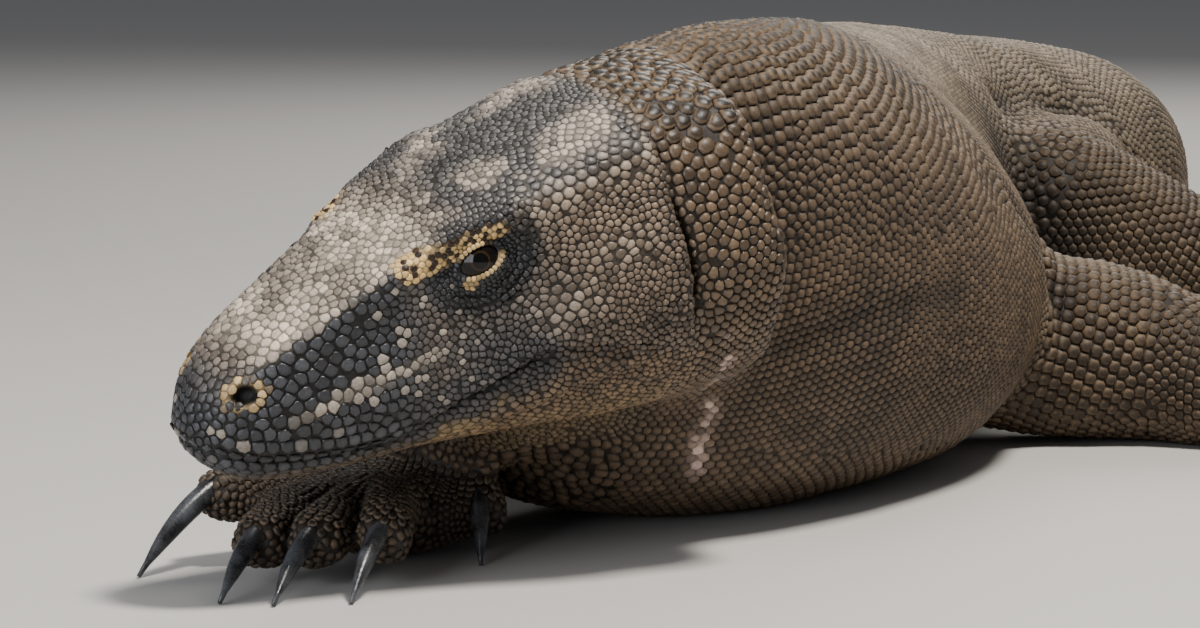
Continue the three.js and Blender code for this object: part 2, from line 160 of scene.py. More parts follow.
def value_noise(points, size, seed=0):
    """Smooth noise from 0 to 1 with cells of the given size, the same at each run."""
    p = points / size + 71.3 * seed
    cell = np.floor(p).astype(np.int64)
    f = p - cell
    f = f * f * (3 - 2 * f)
    total = np.zeros(len(points))
    for corner in range(8):
        step = np.array([corner & 1, corner >> 1 & 1, corner >> 2 & 1])
        key = (cell + step) @ np.array([73856093, 19349663, 83492791]) + 7919 * seed
        key = (key ^ (key >> 13)) * 1274126177 & 0x7FFFFFFF
        value = ((key ^ (key >> 16)) & 0xFFFF) / 65535.0
        total += value * np.prod(np.where(step, f, 1 - f), axis=1)
    return total


def clouds(points, size, seed=0, octaves=3):
    total = sum(value_noise(points, size / 2**i, seed + i) / 2**i for i in range(octaves))
    return total / sum(1 / 2**i for i in range(octaves))


def read(items, name, kind, width):
    """One property of all of a mesh's vertices or edges, a row for each."""
    flat = np.empty(len(items) * width, kind)
    items.foreach_get(name, flat)
    return flat.reshape(-1, width)


class Surface:
    """A mesh's points as an array in the layout frame, with its edges and normals."""

    def __init__(self, mesh):
        self.mesh = mesh
        self.points = to_layout(read(mesh.vertices, "co", np.float32, 3))
        self.edges = read(mesh.edges, "vertices", np.int32, 2)
        self.degree = np.bincount(self.edges.ravel(), minlength=len(self.points)).astype(float)

    def write(self):
        self.mesh.vertices.foreach_set("co", to_row(self.points).astype(np.float32).ravel())
        self.mesh.update()

    def normals(self):
        self.write()
        return read(self.mesh.vertex_normals, "vector", np.float32, 3).astype(float)

    def blurred(self, values, rounds, weight=0.5):
        """Each value drawn towards its neighbours' mean; the weight may vary over the mesh."""
        a, b = self.edges.T
        weight = np.broadcast_to(weight, len(values))
        out = values.astype(float)
        for _ in range(rounds):
            for column in out.T:
                mean = np.bincount(a, column[b], len(column))
                mean += np.bincount(b, column[a], len(column))
                column += weight * (mean / self.degree - column)
        return out


def object_of(name, mesh):
    thing = bpy.data.objects.new(name, mesh)
    bpy.context.scene.collection.objects.link(thing)
    return thing


def shade_smooth(mesh):
    mesh.polygons.foreach_set("use_smooth", np.ones(len(mesh.polygons), bool))


def mesh_of(name, points, faces):
    """A mesh from points in the layout frame."""
    mesh = bpy.data.meshes.new(name)
    mesh.from_pydata(to_row(points).tolist(), [], faces)
    shade_smooth(mesh)
    mesh.update()
    return mesh


def turns(sides):
    return np.arange(sides) * 2 * math.pi / sides


def bands(rings, sides):
    """The faces between rings of points, and the corners on each side of the last ring."""
    faces = [(r * sides + s, r * sides + (s + 1) % sides,
              (r + 1) * sides + (s + 1) % sides, (r + 1) * sides + s)
             for r in range(rings - 1) for s in range(sides)]
    last = (rings - 1) * sides
    return faces, [(last + s, last + (s + 1) % sides) for s in range(sides)]


# ---- hide
VOXEL_MM = 5.65
SWELL_MM = 0.6  # each solid is swollen this much, so that the cuts between them close
BLUR_ROUNDS = 44
# The share of that smoothing each length of the body takes: the thicker, the more.
BLUR_SHARE = {
    "head": 0.2, "lower_jaw": 0.2, "neck": 1.0, "chest": 1.0, "abdomen": 1.0, "pelvis": 0.9,
    "tail_1": 0.55, "tail_2": 0.32, "tail_3": 0.16, "tail_4": 0.07, "upper_arm": 0.36,
    "forearm": 0.18, "hand": 0.09, "thigh": 0.22, "shank": 0.16, "foot": 0.09,
}
NECK_JOIN_AT, NECK_JOIN_HALF = -5.0, 24  # where the head meets the neck, ahead of the ears
FLESH = [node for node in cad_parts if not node.startswith(("claw_", "eye_"))]
PARTS = [node.removesuffix("_left").removesuffix("_right") for node in FLESH]
HEAD_AND_NECK = ("head", "lower_jaw", "neck")


def belongs(owner, *nodes):
    """Which places are on the nodes with these names, or with these starts of names."""
    return np.isin(owner, [i for i, node in enumerate(FLESH) if node.startswith(nodes)])


def swollen_copy(node):
    """A merged copy of a solid, pushed out along its normals."""
    copy = bmesh.new()
    copy.from_mesh(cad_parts[node].data)
    bmesh.ops.remove_doubles(copy, verts=copy.verts, dist=1e-5)
    copy.normal_update()
    moves = [vertex.normal * SWELL_MM * MM for vertex in copy.verts]
    for vertex, move in zip(copy.verts, moves):
        vertex.co += move
    mesh = bpy.data.meshes.new(node + "_copy")
    copy.to_mesh(mesh)
    copy.free()
    return mesh


def remeshed_flesh():
    """One closed skin round the swollen copies of the flesh and the eyes."""
    nodes = FLESH + ["eye_left", "eye_right"]
    pieces = [object_of("flesh_" + node, swollen_copy(node)) for node in nodes]
    for other in bpy.context.selected_objects:
        other.select_set(False)
    for piece in pieces:
        piece.select_set(True)
    skin = bpy.context.view_layer.objects.active = pieces[0]
    bpy.ops.object.join()
    skin.name = skin.data.name = "hide"
    modifier = skin.modifiers.new("remesh", "REMESH")
    modifier.mode = "VOXEL"
    modifier.voxel_size = VOXEL_MM * MM
    bpy.ops.object.modifier_apply(modifier=modifier.name)
    return skin


def tree_of(points):
    tree = KDTree(len(points))
    for i, point in enumerate(points):
        tree.insert(point, i)
    tree.balance()
    return tree


def node_finder():
    """A function that gives, for each of many points, the index of the nearest node."""
    places, owners = [], []
    for index, node in enumerate(FLESH):
        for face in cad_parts[node].data.polygons:
            corners = [Vector(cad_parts[node].data.vertices[v].co) for v in face.vertices]
            middle = sum(corners, Vector()) / len(corners)
            places += [middle] + [middle.lerp(corner, 0.6) for corner in corners]
            owners += [index] * (len(corners) + 1)
    tree, owners = tree_of(to_layout(places)), np.array(owners)
    return lambda points: np.array([owners[tree.find(point)[1]] for point in points])


find_node = node_finder()


def refine(skin, wanted):
    """Cuts into four the faces whose middles pass a test."""
    copy = bmesh.new()
    copy.from_mesh(skin.data)
    chosen = wanted(to_layout([face.calc_center_median() for face in copy.faces]))
    edges = {edge for face, take in zip(copy.faces, chosen) if take for edge in face.edges}
    bmesh.ops.subdivide_edges(copy, edges=list(edges), cuts=1, use_grid_fill=True)
    bmesh.ops.triangulate(copy, faces=[face for face in copy.faces if len(face.verts) > 4])
    copy.to_mesh(skin.data)
    copy.free()


def smooth_joins(skin):
    """Smooths the remeshed flesh, then gives back the bulk that smoothing took."""
    surface = Surface(skin.data)
    owner = find_node(surface.points)
    share = np.array([BLUR_SHARE[part] for part in PARTS])[owner]
    ahead = to_head(surface.points)[:, 0]
    at_join = 0.7 * bell(ahead - NECK_JOIN_AT, NECK_JOIN_HALF) * belongs(owner, *HEAD_AND_NECK)
    share = surface.blurred(np.maximum(share, at_join)[:, None], 10)[:, 0]
    before = surface.points
    after = surface.blurred(before, BLUR_ROUNDS, 0.5 * share)
    extra = surface.blurred(after, 2 * BLUR_ROUNDS, 0.5 * at_join)
    lost = surface.blurred(before - extra, BLUR_ROUNDS, 0.5 * share)
    surface.points = extra + surface.blurred(lost, BLUR_ROUNDS, 0.5 * at_join)
    surface.write()


# ---- lie of the head's features
# Places are ahead of, out from and above the ears' middle, the same on both sides.
BROW = [(130, 30, 51), (115, 33, 59), (100, 37, 62), (88, 39, 64), (76, 39, 66)]
BROW_HOLLOW = [(117, 38, 47), (108, 41, 53), (97, 43, 56), (87, 43, 58)]
CANTHUS = [(130, 30, 51), (160, 27, 42), (192, 23, 29)]
LORE = [(132, 36, 36), (152, 33, 27), (175, 31, 16)]
MOUTH = [(223, 0, -5), (218, 12, -6), (212, 19, -8), (191, 29, -14), (162, 32, -19),
         (139, 34, -19), (122, 40, -11), (103, 46, -5), (84, 51, 3)]
MOUTH_CORNER = [(84, 51, 3), (74, 55, 5), (60, 59, 4), (46, 61, -2)]
JAW_RIDGE = [(128, 35, -25), (109, 39, -21), (86, 45, -18), (59, 57, -9), (40, 62, -6)]
UNDER_JAW = np.add(JAW_RIDGE, (0, 1, -9))
BULGE = np.array([42.0, 62.0, 32.0])  # the jaw muscle
EAR_FOLD = [(20, 22, 82), (14, 37, 77), (12, 46, 69), (13, 54, 57), (13, 59, 49),
            (12, 63, 39), (12, 67, 27), (13, 69, 12), (15, 67, -1)]
EAR_FOLD_DEPTH = ((0, 0.35, 0.5, 0.85, 1), (0.8, 2.6, 7.0, 6.0, 1.0))  # share of it, depth
EAR_SLIT_BARE = ((0.3, 0.45, 0.9, 1.0), (0.0, 1.9, 1.9, 0.6))  # share of the fold, half width
TEMPLE_RIDGE = [(80, 40, 66), (58, 42, 69), (36, 41, 73), (20, 41, 74)]
CROWN_TOP = [(78, 6, 76), (50, 6, 81), (24, 10, 83), (0, 10, 84)]
NOSTRIL = np.array([202.0, 22.5, 19.0])
NOSTRIL_HALF = np.array([5.4, 3.9])  # along and across the slot
FISSURE_HALF = 9.9  # half the eye's opening, between its corners
LID_UP, LID_LOW = 5.0, 4.7
LID_THICK = 0.9
FOLD_PITCH, WRINKLE_PITCH = 3.5, 5.2  # of the folds round the eye, and of the muscle's creases
eye_out = unit(np.array([0.34, 0.84, 0.42]))
fissure = np.array([0.94, -0.13, -0.31])
fissure = unit(fissure - eye_out * (fissure @ eye_out))
lid_rise = np.cross(eye_out, fissure)
lid_rise = lid_rise * np.sign(lid_rise[2])


def lid_outline():
    """The eye's opening, in millimetres along the fissure and across it."""
    turn = np.linspace(0, 2 * math.pi, 49)
    across = np.where(np.sin(turn) > 0, LID_UP, LID_LOW) * np.sign(np.sin(turn))
    return np.column_stack([FISSURE_HALF * np.cos(turn), across * np.abs(np.sin(turn)) ** 1.25])


def from_opening(places):
    """How far folded places are outside the eye's opening, less than 0 in it."""
    offset = places - EYE_CENTRE
    flat = np.column_stack([offset @ fissure, offset @ lid_rise])
    distance = along_line(flat, lid_outline())[0]
    run = np.clip(1 - (flat[:, 0] / FISSURE_HALF) ** 2, 0, 1) ** 0.62
    inside = (flat[:, 1] < LID_UP * run) & (flat[:, 1] > -LID_LOW * run)
    return np.where(inside, -distance, distance), flat


def faces_eye(places, depth):
    """Whether folded places are no deeper behind the eye's centre than given."""
    return (places - EYE_CENTRE) @ eye_out > -depth


def shape_lids(surface):
    """Draws the hide over the eyeballs as lids, and behind them in the openings."""
    places = to_head(surface.points)
    side = np.sign(places[:, 1])
    places[:, 1] *= side
    offset = places - EYE_CENTRE
    reach = np.linalg.norm(offset, axis=1)
    outside, _ = from_opening(places)
    near = faces_eye(places, 2) & (reach < 30)
    lid = EYE_RADIUS + LID_THICK + 0.8 * smoothstep(outside, 0, 1.6)
    lid = np.where(outside < 0, EYE_RADIUS - 3.0 * smoothstep(-outside, 0, 0.8), lid)
    wanted = reach + (1 - smoothstep(outside, 3.5, 11)) * (lid - reach)
    places[near] = EYE_CENTRE + (offset / reach[:, None] * wanted[:, None])[near]
    places[:, 1] *= side
    surface.points = from_head(places)


def orbital_folds(places):
    """Ridges that run round the eye below and behind it."""
    outside, flat = from_opening(places)
    band = smoothstep(outside, 3.0, 6.0) * (1 - smoothstep(outside, 15, 21))
    turn = np.degrees(np.arctan2(flat[:, 1], flat[:, 0]))
    turn = np.where(turn > 90, turn - 360, turn)
    sector = smoothstep(turn, -232, -205) * (1 - smoothstep(turn, -28, -8))
    wave = np.cos(2 * math.pi * (outside - 3.6) / FOLD_PITCH)
    return 0.8 * band * sector * wave * faces_eye(places, 8)


def bulge_wrinkles(places):
    """Fine creases that run round the lower and rear edge of the jaw muscle."""
    offset = places - BULGE
    reach = np.hypot(offset[:, 0] / 1.15, offset[:, 2])
    below = smoothstep(-unit(offset)[:, 2] - 0.35 * unit(offset)[:, 0], 0.0, 0.5)
    band = smoothstep(reach, 15, 22) * (1 - smoothstep(reach, 36, 44)) * (places[:, 0] > 14)
    wave = np.cos(2 * math.pi * reach / WRINKLE_PITCH + 0.6 * places[:, 0] / 9)
    return 0.55 * band * below * wave


def nostril_reach(places):
    """1 on the rim of the nostril, less inside it."""
    offset = places - NOSTRIL
    slot = unit(np.array([0.93, -0.25, -0.12]))
    out = unit(np.array([0.55, 0.75, 0.36]))
    reach = np.hypot(*np.stack([offset @ slot, offset @ np.cross(out, slot)])
                     / NOSTRIL_HALF[:, None])
    return reach, np.abs(offset @ out) < 12


def head_push(points):
    """How far each point moves out along its normal to give the head its features."""
    places = folded(points)
    x, _, z = places.T
    push = ridges(places, (3.2, BROW, 5.0), (-1.6, BROW_HOLLOW, 2.6), (1.6, CANTHUS, 6.5),
                  (-1.4, LORE, 8.0), (1.6, TEMPLE_RIDGE, 9.0), (1.5, JAW_RIDGE, 4.5),
                  (-1.5, UNDER_JAW, 3.5), (-3.2, MOUTH, 1.5), (-1.6, MOUTH_CORNER, 3.0))
    push += 3.0 * knob(places, BULGE, 26) + bulge_wrinkles(places)
    rise = z - np.interp(x, *np.array(MOUTH)[::-1, ::2].T)
    lips = (x > 80) & (np.abs(rise) < 14)
    push += lips * 0.9 * bell(rise - 4.5, 4.0) + lips * 0.5 * bell(rise + 4.5, 3.5)
    push += 1.6 * ridge(places, CROWN_TOP, 22) * (z > 60)
    fold, run = along_line(places, EAR_FOLD)
    push -= np.interp(run, *EAR_FOLD_DEPTH) * bell(fold, 1.9)
    behind = np.clip(EAR_FOLD[4][0] + 2 - x, 0, None)
    push -= 2.6 * bell(fold, 9.0) * smoothstep(behind, 0, 5) * smoothstep(run, 0.1, 0.4)
    reach, facing = nostril_reach(places)
    push += facing * (0.9 * bell(reach - 1.35, 0.35) - 4.5 * (1 - smoothstep(reach, 0.55, 1.08)))
    return push + orbital_folds(places)


# ---- lie of the body's folds
NECK_RIM = [(127, 350, 210), (145, 332, 196), (164, 322, 177), (194, 333, 138),
            (215, 372, 110), (222, 388, 76), (221, 394, 52), (215, 399, 28)]
NECK_GROOVE = [(82, 114, 89), (119, 148, 98), (165, 219, 102)]
SCAR = [(54, 47, 99), (53, 66, 83), (45, 102, 69), (49, 111, 59), (44, 115, 51), (42, 136, 29)]
ARM_PIT = [(214, 400, 90), (236, 402, 60), (232, 402, 24)]
KNEE_BACK = [(238, 852, 142), (262, 900, 137), (300, 922, 130), (336, 925, 117),
             (354, 905, 100)]
# Where a painted shadow darkens the pocket between the neck's rim and the knee.
KNEE_POCKET = [(236, 788, 128), (252, 800, 108), (264, 806, 88), (270, 806, 66)]
BEHIND_RIM = ((0.1, 0.3, 0.6, 1), (2.5, 8.0, 6.5, 3.5))  # share of the rim, depth of its pocket


def body_push(points):
    """How far each point moves out along its normal to give the body its folds."""
    push = ridges(points, (2.6, NECK_RIM, 8), (-2.2, NECK_GROOVE, 7), (-13.0, KNEE_BACK, 14),
                  (-1.3, SCAR, 3.5), (-2.0, ARM_PIT, 5))
    gap, run = along_line(points, np.add(NECK_RIM, (9, 16, 0)))
    push -= np.interp(run, *BEHIND_RIM) * bell(gap, 8)
    return push + 2.2 * (clouds(points, 55, 3, 2) - 0.5)


# ---- lie of the digits
DIGIT_LENGTH, DIGIT_RISE = 46, 15.0
CLAW_NODES = [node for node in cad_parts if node.startswith("claw_")]


def solid_points(node):
    return to_layout([vertex.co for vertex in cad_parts[node].data.vertices])


def claw_ends(node):
    """The root and point of a claw's solid, its hand or foot, and the middle of that."""
    hand = node.removeprefix("claw_").rsplit("_", 1)[0]
    palm = solid_points(hand).mean(axis=0)
    claw = solid_points(node)
    low = claw[claw[:, 2] < claw[:, 2].min() + 1.5]
    point = low[np.argmax(np.linalg.norm(low - palm, axis=1))]
    away = np.linalg.norm(claw - point, axis=1)
    return claw[away > 0.93 * away.max()].mean(axis=0), point, hand, palm


def digit_line(node):
    """The axis of a claw's digit, from the palm to the claw's root."""
    root, point, hand, palm = claw_ends(node)
    back = unit((palm - root) * LEVEL - 0.8 * (point - root) * LEVEL)
    end = root + back * DIGIT_LENGTH
    end[2] = max(root[2], DIGIT_RISE)
    return hand, np.array([end, root])


DIGIT_LINES = [digit_line(node) for node in CLAW_NODES]


def clefts(points):
    """1 down in the clefts between digits, 0 on the digits and on the palms."""
    found = np.zeros(len(points))
    for hand in sorted({hand for hand, _ in DIGIT_LINES}):
        lines = [along_line(points, line) for name, line in DIGIT_LINES if name == hand]
        gaps, runs = (np.array(values) for values in zip(*lines))
        order = np.argsort(gaps, axis=0)
        first, second = np.take_along_axis(gaps, order[:2], axis=0)
        run = np.take_along_axis(runs, order[:1], axis=0)[0]
        cleft = bell(second - first, 4.0) * (first < 24) * smoothstep(run, 0.1, 0.45)
        found = np.maximum(found, cleft)
    return found


def hand_push(points):
    """Presses the clefts in and swells the cuffs at the claws' roots."""
    push = -6.0 * clefts(points)
    for _, (end, root) in DIGIT_LINES:
        push += 1.8 * knob(points, root + unit(end - root) * 8 - (0, 0, 2), 13)
    return push


# ---- the finished hide
SCALE_DEPTH_MM = 1.0  # the hide lies this far inside the solids, to leave room for the scales


def on_head(points, back=-34.0):
    local = to_head(points)
    return (local[:, 0] > back) & (np.abs(local[:, 1]) < 92) & (local[:, 2] > -75)


def near_details(points):
    """Near the eyes, nostrils, lips and ears, which need the finest mesh."""
    places = folded(points)
    eye = np.linalg.norm((places - EYE_CENTRE) / [1.2, 1.4, 1], axis=1) < 24
    nostril = np.linalg.norm(places - NOSTRIL, axis=1) < 12
    lips = along_line(places, MOUTH)[0] < 5
    ear = along_line(places, EAR_FOLD[3:])[0] < 6
    return (eye | nostril | lips | ear) & (places[:, 0] > -5)


def at_lids(points):
    places = folded(points)
    return (np.abs(from_opening(places)[0]) < 4.5) & faces_eye(places, 3)


def at_digits(points):
    return np.min([along_line(points, line)[0] for _, line in DIGIT_LINES], axis=0) < 26


def nape_bulk(points, normals):
    """Gives back what smoothing took along the top of the neck."""
    ahead = to_head(points)[:, 0]
    along = smoothstep(ahead, 50, 20) * smoothstep(points[:, 1], 330, 240)
    return 1.9 * smoothstep(normals[:, 2], 0.1, 0.8) * along * (points[:, 2] > 120)


def make_hide():
    skin = remeshed_flesh()
    smooth_joins(skin)
    for wanted in (on_head, near_details, at_lids, at_digits):
        refine(skin, wanted)
    surface = Surface(skin.data)
    surface.points = surface.blurred(surface.points, 4, 0.5 * on_head(surface.points))
    normals = surface.normals()
    push = body_push(surface.points) * ~on_head(surface.points, 0)
    push = surface.blurred(push[:, None], 3)[:, 0]
    push += np.where(on_head(surface.points, -10), head_push(surface.points), 0)
    push += hand_push(surface.points) + nape_bulk(surface.points, normals)
    surface.points += normals * (push - SCALE_DEPTH_MM - SWELL_MM)[:, None]
    shape_lids(surface)
    surface.points[:, 2] = np.maximum(surface.points[:, 2], SCALE_DEPTH_MM)
    surface.write()
    shade_smooth(skin.data)
    return skin


hide = make_hide()
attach(hide, "root")
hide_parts(*FLESH)

# ---- eyes
EYE_RINGS, EYE_SIDES = 28, 48
CORNEA, CORNEA_HALF = 0.045, 0.42  # rise as a share of the radius, and half width in radians


def make_eye(side):
    """An eyeball with a slight cornea, its seams and poles turned to the opening's axis."""
    polar = np.linspace(0, math.pi, EYE_RINGS + 1)[1:-1]
    turn = turns(EYE_SIDES)
    bulge = EYE_RADIUS * (1 + CORNEA * bell(polar, CORNEA_HALF))
    wide = np.sin(polar) * bulge
    ring = np.stack([np.outer(wide, np.cos(turn)), np.outer(wide, np.sin(turn)),
                     np.outer(np.cos(polar) * bulge, np.ones(EYE_SIDES))], axis=-1)
    poles = [[0, 0, EYE_RADIUS * (1 + CORNEA)], [0, 0, -EYE_RADIUS]]
    places = np.vstack([ring.reshape(-1, 3), poles])
    faces, rim = bands(EYE_RINGS - 1, EYE_SIDES)
    faces = [(a, d, c, b) for a, b, c, d in faces]
    first = (EYE_RINGS - 2) * EYE_SIDES
    for a, b in rim:
        faces += [(len(places) - 2, a - first, b - first), (len(places) - 1, b, a)]
    place = EYE_CENTRE + places @ np.stack([fissure, np.cross(eye_out, fissure), eye_out])
    place[:, 1] *= side
    mesh = mesh_of("eyeball", from_head(place), [face[::side] for face in faces])
    off_axis = np.degrees(np.arccos(np.clip(unit(places)[:, 2], -1, 1)))
    attribute = mesh.attributes.new("off_axis", "FLOAT", "POINT")
    attribute.data.foreach_set("value", off_axis.astype(np.float32))
    return mesh


eyeballs = []
for name, side in (("eye_left", 1), ("eye_right", -1)):
    eye = object_of("eyeball_" + name[4:], make_eye(side))
    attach(eye, "root")
    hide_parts(name)
    eyeballs.append(eye)

# ---- claws
CLAW_RINGS, CLAW_SIDES = 12, 12
CLAW_HALF = (4.4, 5.1)  # across and up, at the root
CLAW_TIP = 0.2  # width at the last ring, as a share of that at the root
CLAW_BEND, CLAW_ARCH = 0.42, 0.19  # where the bend is and how high, as shares of the length


def claw_mesh(node):
    """A horn along a curve from inside the digit to the solid claw's point."""
    root, point = claw_ends(node)[:2]
    run = point - root
    start = root - unit(run) * 4
    bend = root + run * CLAW_BEND + UP * CLAW_ARCH * np.linalg.norm(run)
    t = np.linspace(0, 1, CLAW_RINGS)[:, None]
    spine = (1 - t) ** 2 * start + 2 * t * (1 - t) * bend + t**2 * point
    heading = unit(2 * (1 - t) * (bend - start) + 2 * t * (point - bend))
    across = unit(np.cross(unit(run * LEVEL), UP))
    rise = np.cross(across, heading)
    taper = np.clip(1 - t**3.6, CLAW_TIP, 1)
    turn = turns(CLAW_SIDES)
    rings = (spine[:, None] + across * (CLAW_HALF[0] * taper * np.cos(turn))[..., None]
             + rise[:, None] * (CLAW_HALF[1] * taper * np.sin(turn))[..., None])
    points = np.vstack([rings.reshape(-1, 3), point[None], start[None]])
    points[:, 2] = np.maximum(points[:, 2], 0.3)
    faces, rim = bands(CLAW_RINGS, CLAW_SIDES)
    first = (CLAW_RINGS - 1) * CLAW_SIDES
    for a, b in rim:
        faces += [(a, b, len(points) - 2), (b - first, a - first, len(points) - 1)]
    mesh = mesh_of("keratin_" + node[5:], points, faces)
    copy = bmesh.new()
    copy.from_mesh(mesh)
    bmesh.ops.recalc_face_normals(copy, faces=copy.faces)
    copy.to_mesh(mesh)
    copy.free()
    return mesh


claws = []
for node in CLAW_NODES:
    claw = object_of("keratin_" + node[5:], claw_mesh(node))
    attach(claw, "root")
    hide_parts(node)
    claws.append(claw)

# ---- where the scales go
BODY_LINE = [(-34, 114, 99), (10, 160, 96), (50, 208, 94), (82, 274, 93), (103, 352, 91),
             (113, 440, 90), (115, 540, 86), (121, 650, 85), (136, 765, 85), (168, 880, 82),
             (224, 982, 77), (284, 1062, 73), (324, 1138, 62), (348, 1222, 50),
             (346, 1316, 41), (314, 1408, 35), (252, 1490, 29), (166, 1548, 25),
             (66, 1570, 21), (-34, 1554, 18), (-124, 1498, 15), (-186, 1412, 12),
             (-214, 1312, 9), (-208, 1208, 6.5), (-180, 1106, 4)]
NECK_LINE, TRUNK_LINE = BODY_LINE[:6], BODY_LINE[5:]
HEAD_LINE = [tuple(from_head(place)) for place in ((-30, 0, 5), (90, 0, 12), (222, 0, 2))]
LIMB_LINES = {
    "upper_arm_left": [(168, 436, 67), (286, 440, 42)],
    "forearm_left": [(292, 436, 41), (400, 368, 26)],
    "thigh_left": [(284, 1020, 88), (270, 848, 97)],
    "shank_left": [(272, 844, 96), (410, 856, 34)],
    "upper_arm_right": [(62, 420, 72), (-92, 322, 47)],
    "forearm_right": [(-96, 314, 46), (-84, 172, 27)],
    "thigh_right": [(200, 1070, 80), (40, 1014, 90)],
    "shank_right": [(36, 1016, 88), (-48, 1140, 32)],
}
TRUNK = ("neck", "chest", "abdomen", "pelvis", "tail")
SCALE_SIZE = {  # across, in millimetres, on the sides of each part
    "head": 3.9, "lower_jaw": 3.8, "neck": 4.0, "chest": 4.4, "abdomen": 5.0, "pelvis": 5.4,
    "tail_1": 5.4, "tail_2": 5.0, "tail_3": 4.6, "tail_4": 4.0, "upper_arm": 7.0,
    "forearm": 5.8, "hand": 3.8, "thigh": 5.4, "shank": 6.4, "foot": 4.2,
}
NAPE_FROM = 5.2  # a scale of the neck this size or more is set in the wide rows of the nape
NAPE_MORE, BELLY_MORE = 2.7, 1.8  # how much larger scales are there
DIGIT_ROWS_MM = 2.7
DARTS = 230000
FAR = 99  # further from the eyes than any mark reaches
RAYS = 96
CHEEK_BEADS = np.array([68.0, 54.0, 25.0])
TEMPLE_BEADS = np.array([42.0, 56.0, 42.0])
FINE_BULGE = np.array([38.0, 62.0, 20.0])
surface = Surface(hide.data)
hide_normals = surface.normals()
hide.data.calc_loop_triangles()
hide_corners = np.array([face.vertices for face in hide.data.loop_triangles])
hide_tree = BVHTree.FromPolygons(surface.points.tolist(), hide_corners.tolist())
hide_owner = find_node(surface.points)
face_owner = hide_owner[hide_corners[:, 0]]


def on_hide(points):
    """The nearest places on the hide, their normals and their nodes."""
    found = [hide_tree.find_nearest(point) for point in points]
    places = np.array([hit[0] for hit in found])
    faces = np.array([hit[2] for hit in found])
    return places, unit(hide_normals[hide_corners[faces]].sum(axis=1)), face_owner[faces]


def beaded(places):
    """1 on the temple ridges and cheeks, where the beads are long, large and polished."""
    beads = np.maximum(ridge(places, TEMPLE_RIDGE, 9), knob(places, CHEEK_BEADS, 13, (1, 1, 0.9)))
    beads = np.maximum(beads, 0.7 * knob(places, TEMPLE_BEADS, 11, (1.4, 1, 0.6)))
    return beads * smoothstep(places[:, 0], 90, 80)


def head_size(points, normals):
    """How far apart the scales of the head are, across its length."""
    places = folded(points)
    x, s, z = places.T
    up = normals @ HEAD_AXES[:, 2]
    side = smoothstep(s, 14, 24) * (1 - smoothstep(up, 0.55, 0.85))
    size = 2.6 + 1.0 * beaded(places)
    size += 0.4 * smoothstep(up, 0.5, 0.8)
    size += 1.6 * smoothstep(x, 124, 150) * side * smoothstep(z, -22, -10)
    size += 0.9 * smoothstep(x, 140, 190)
    size += 0.5 * smoothstep(x, 60, 100) * smoothstep(-z, 0, 12)
    size -= 0.4 * knob(places, FINE_BULGE, 12)
    nostril = np.linalg.norm(places - NOSTRIL, axis=1)
    size = np.where(nostril < 16, 3.0 + (size - 3.0) * smoothstep(nostril, 8, 16), size)
    outside = np.where(faces_eye(places, 9), from_opening(places)[0], FAR)
    lids = 1.9 + 0.8 * smoothstep(outside, 2, 14)
    size = lids + (size - lids) * smoothstep(outside, 12, 20)
    return np.where(along_line(places, BROW)[0] < 6, np.minimum(size, 2.4), size)


def on_nape(points, normals):
    """1 along the top of the neck, ahead of its rim, falling off down the sides."""
    before_rim = smoothstep(330 - points[:, 1] + 0.25 * (points[:, 0] - 128), -10, 25)
    return before_rim * smoothstep(normals[:, 2], 0.0, 0.75)


def head_share(points, owner):
    """1 on the head, falling to 0 behind the ears, where the neck's scales start."""
    ahead = smoothstep(to_head(points)[:, 0], 7, 15)
    return belongs(owner, *HEAD_AND_NECK) * on_head(points, 0) * ahead


def scale_size(points, normals, owner):
    """How far apart the scales are, by part, and larger along the nape and the belly."""
    size = np.array([SCALE_SIZE[part] for part in PARTS])[owner]
    size = np.where(belongs(owner, "head", "lower_jaw"), SCALE_SIZE["neck"], size)
    neck = belongs(owner, "chest", *HEAD_AND_NECK)
    size = size + NAPE_MORE * neck * on_nape(points, normals)
    size = size + BELLY_MORE * belongs(owner, *TRUNK) * smoothstep(-normals[:, 2], 0.5, 0.9)
    return size + head_share(points, owner) * (head_size(points, normals) - size)


def scale_stretch(points, owner):
    """How much longer than wide the scales are, along the way that they lie."""
    places = folded(points)
    chin = smoothstep(-places[:, 2], 14, 24)
    return 1.08 + head_share(points, owner) * np.maximum(0.42 * beaded(places), 0.3 * chin)


def stations(line, spacing):
    """Places and headings at even steps along a line, with its corners rounded."""
    line, _, starts = arc(line)
    places = places_at(np.arange(0, starts[-1], spacing), starts, line)
    half = 9
    padded = np.vstack([places[:1]] * half + [places] + [places[-1:]] * half)
    window = np.hanning(2 * half + 3)[1:-1]
    rounded = np.column_stack([np.convolve(column, window / window.sum(), "valid")
                               for column in padded.T])
    return rounded, unit(np.gradient(rounded, axis=0))


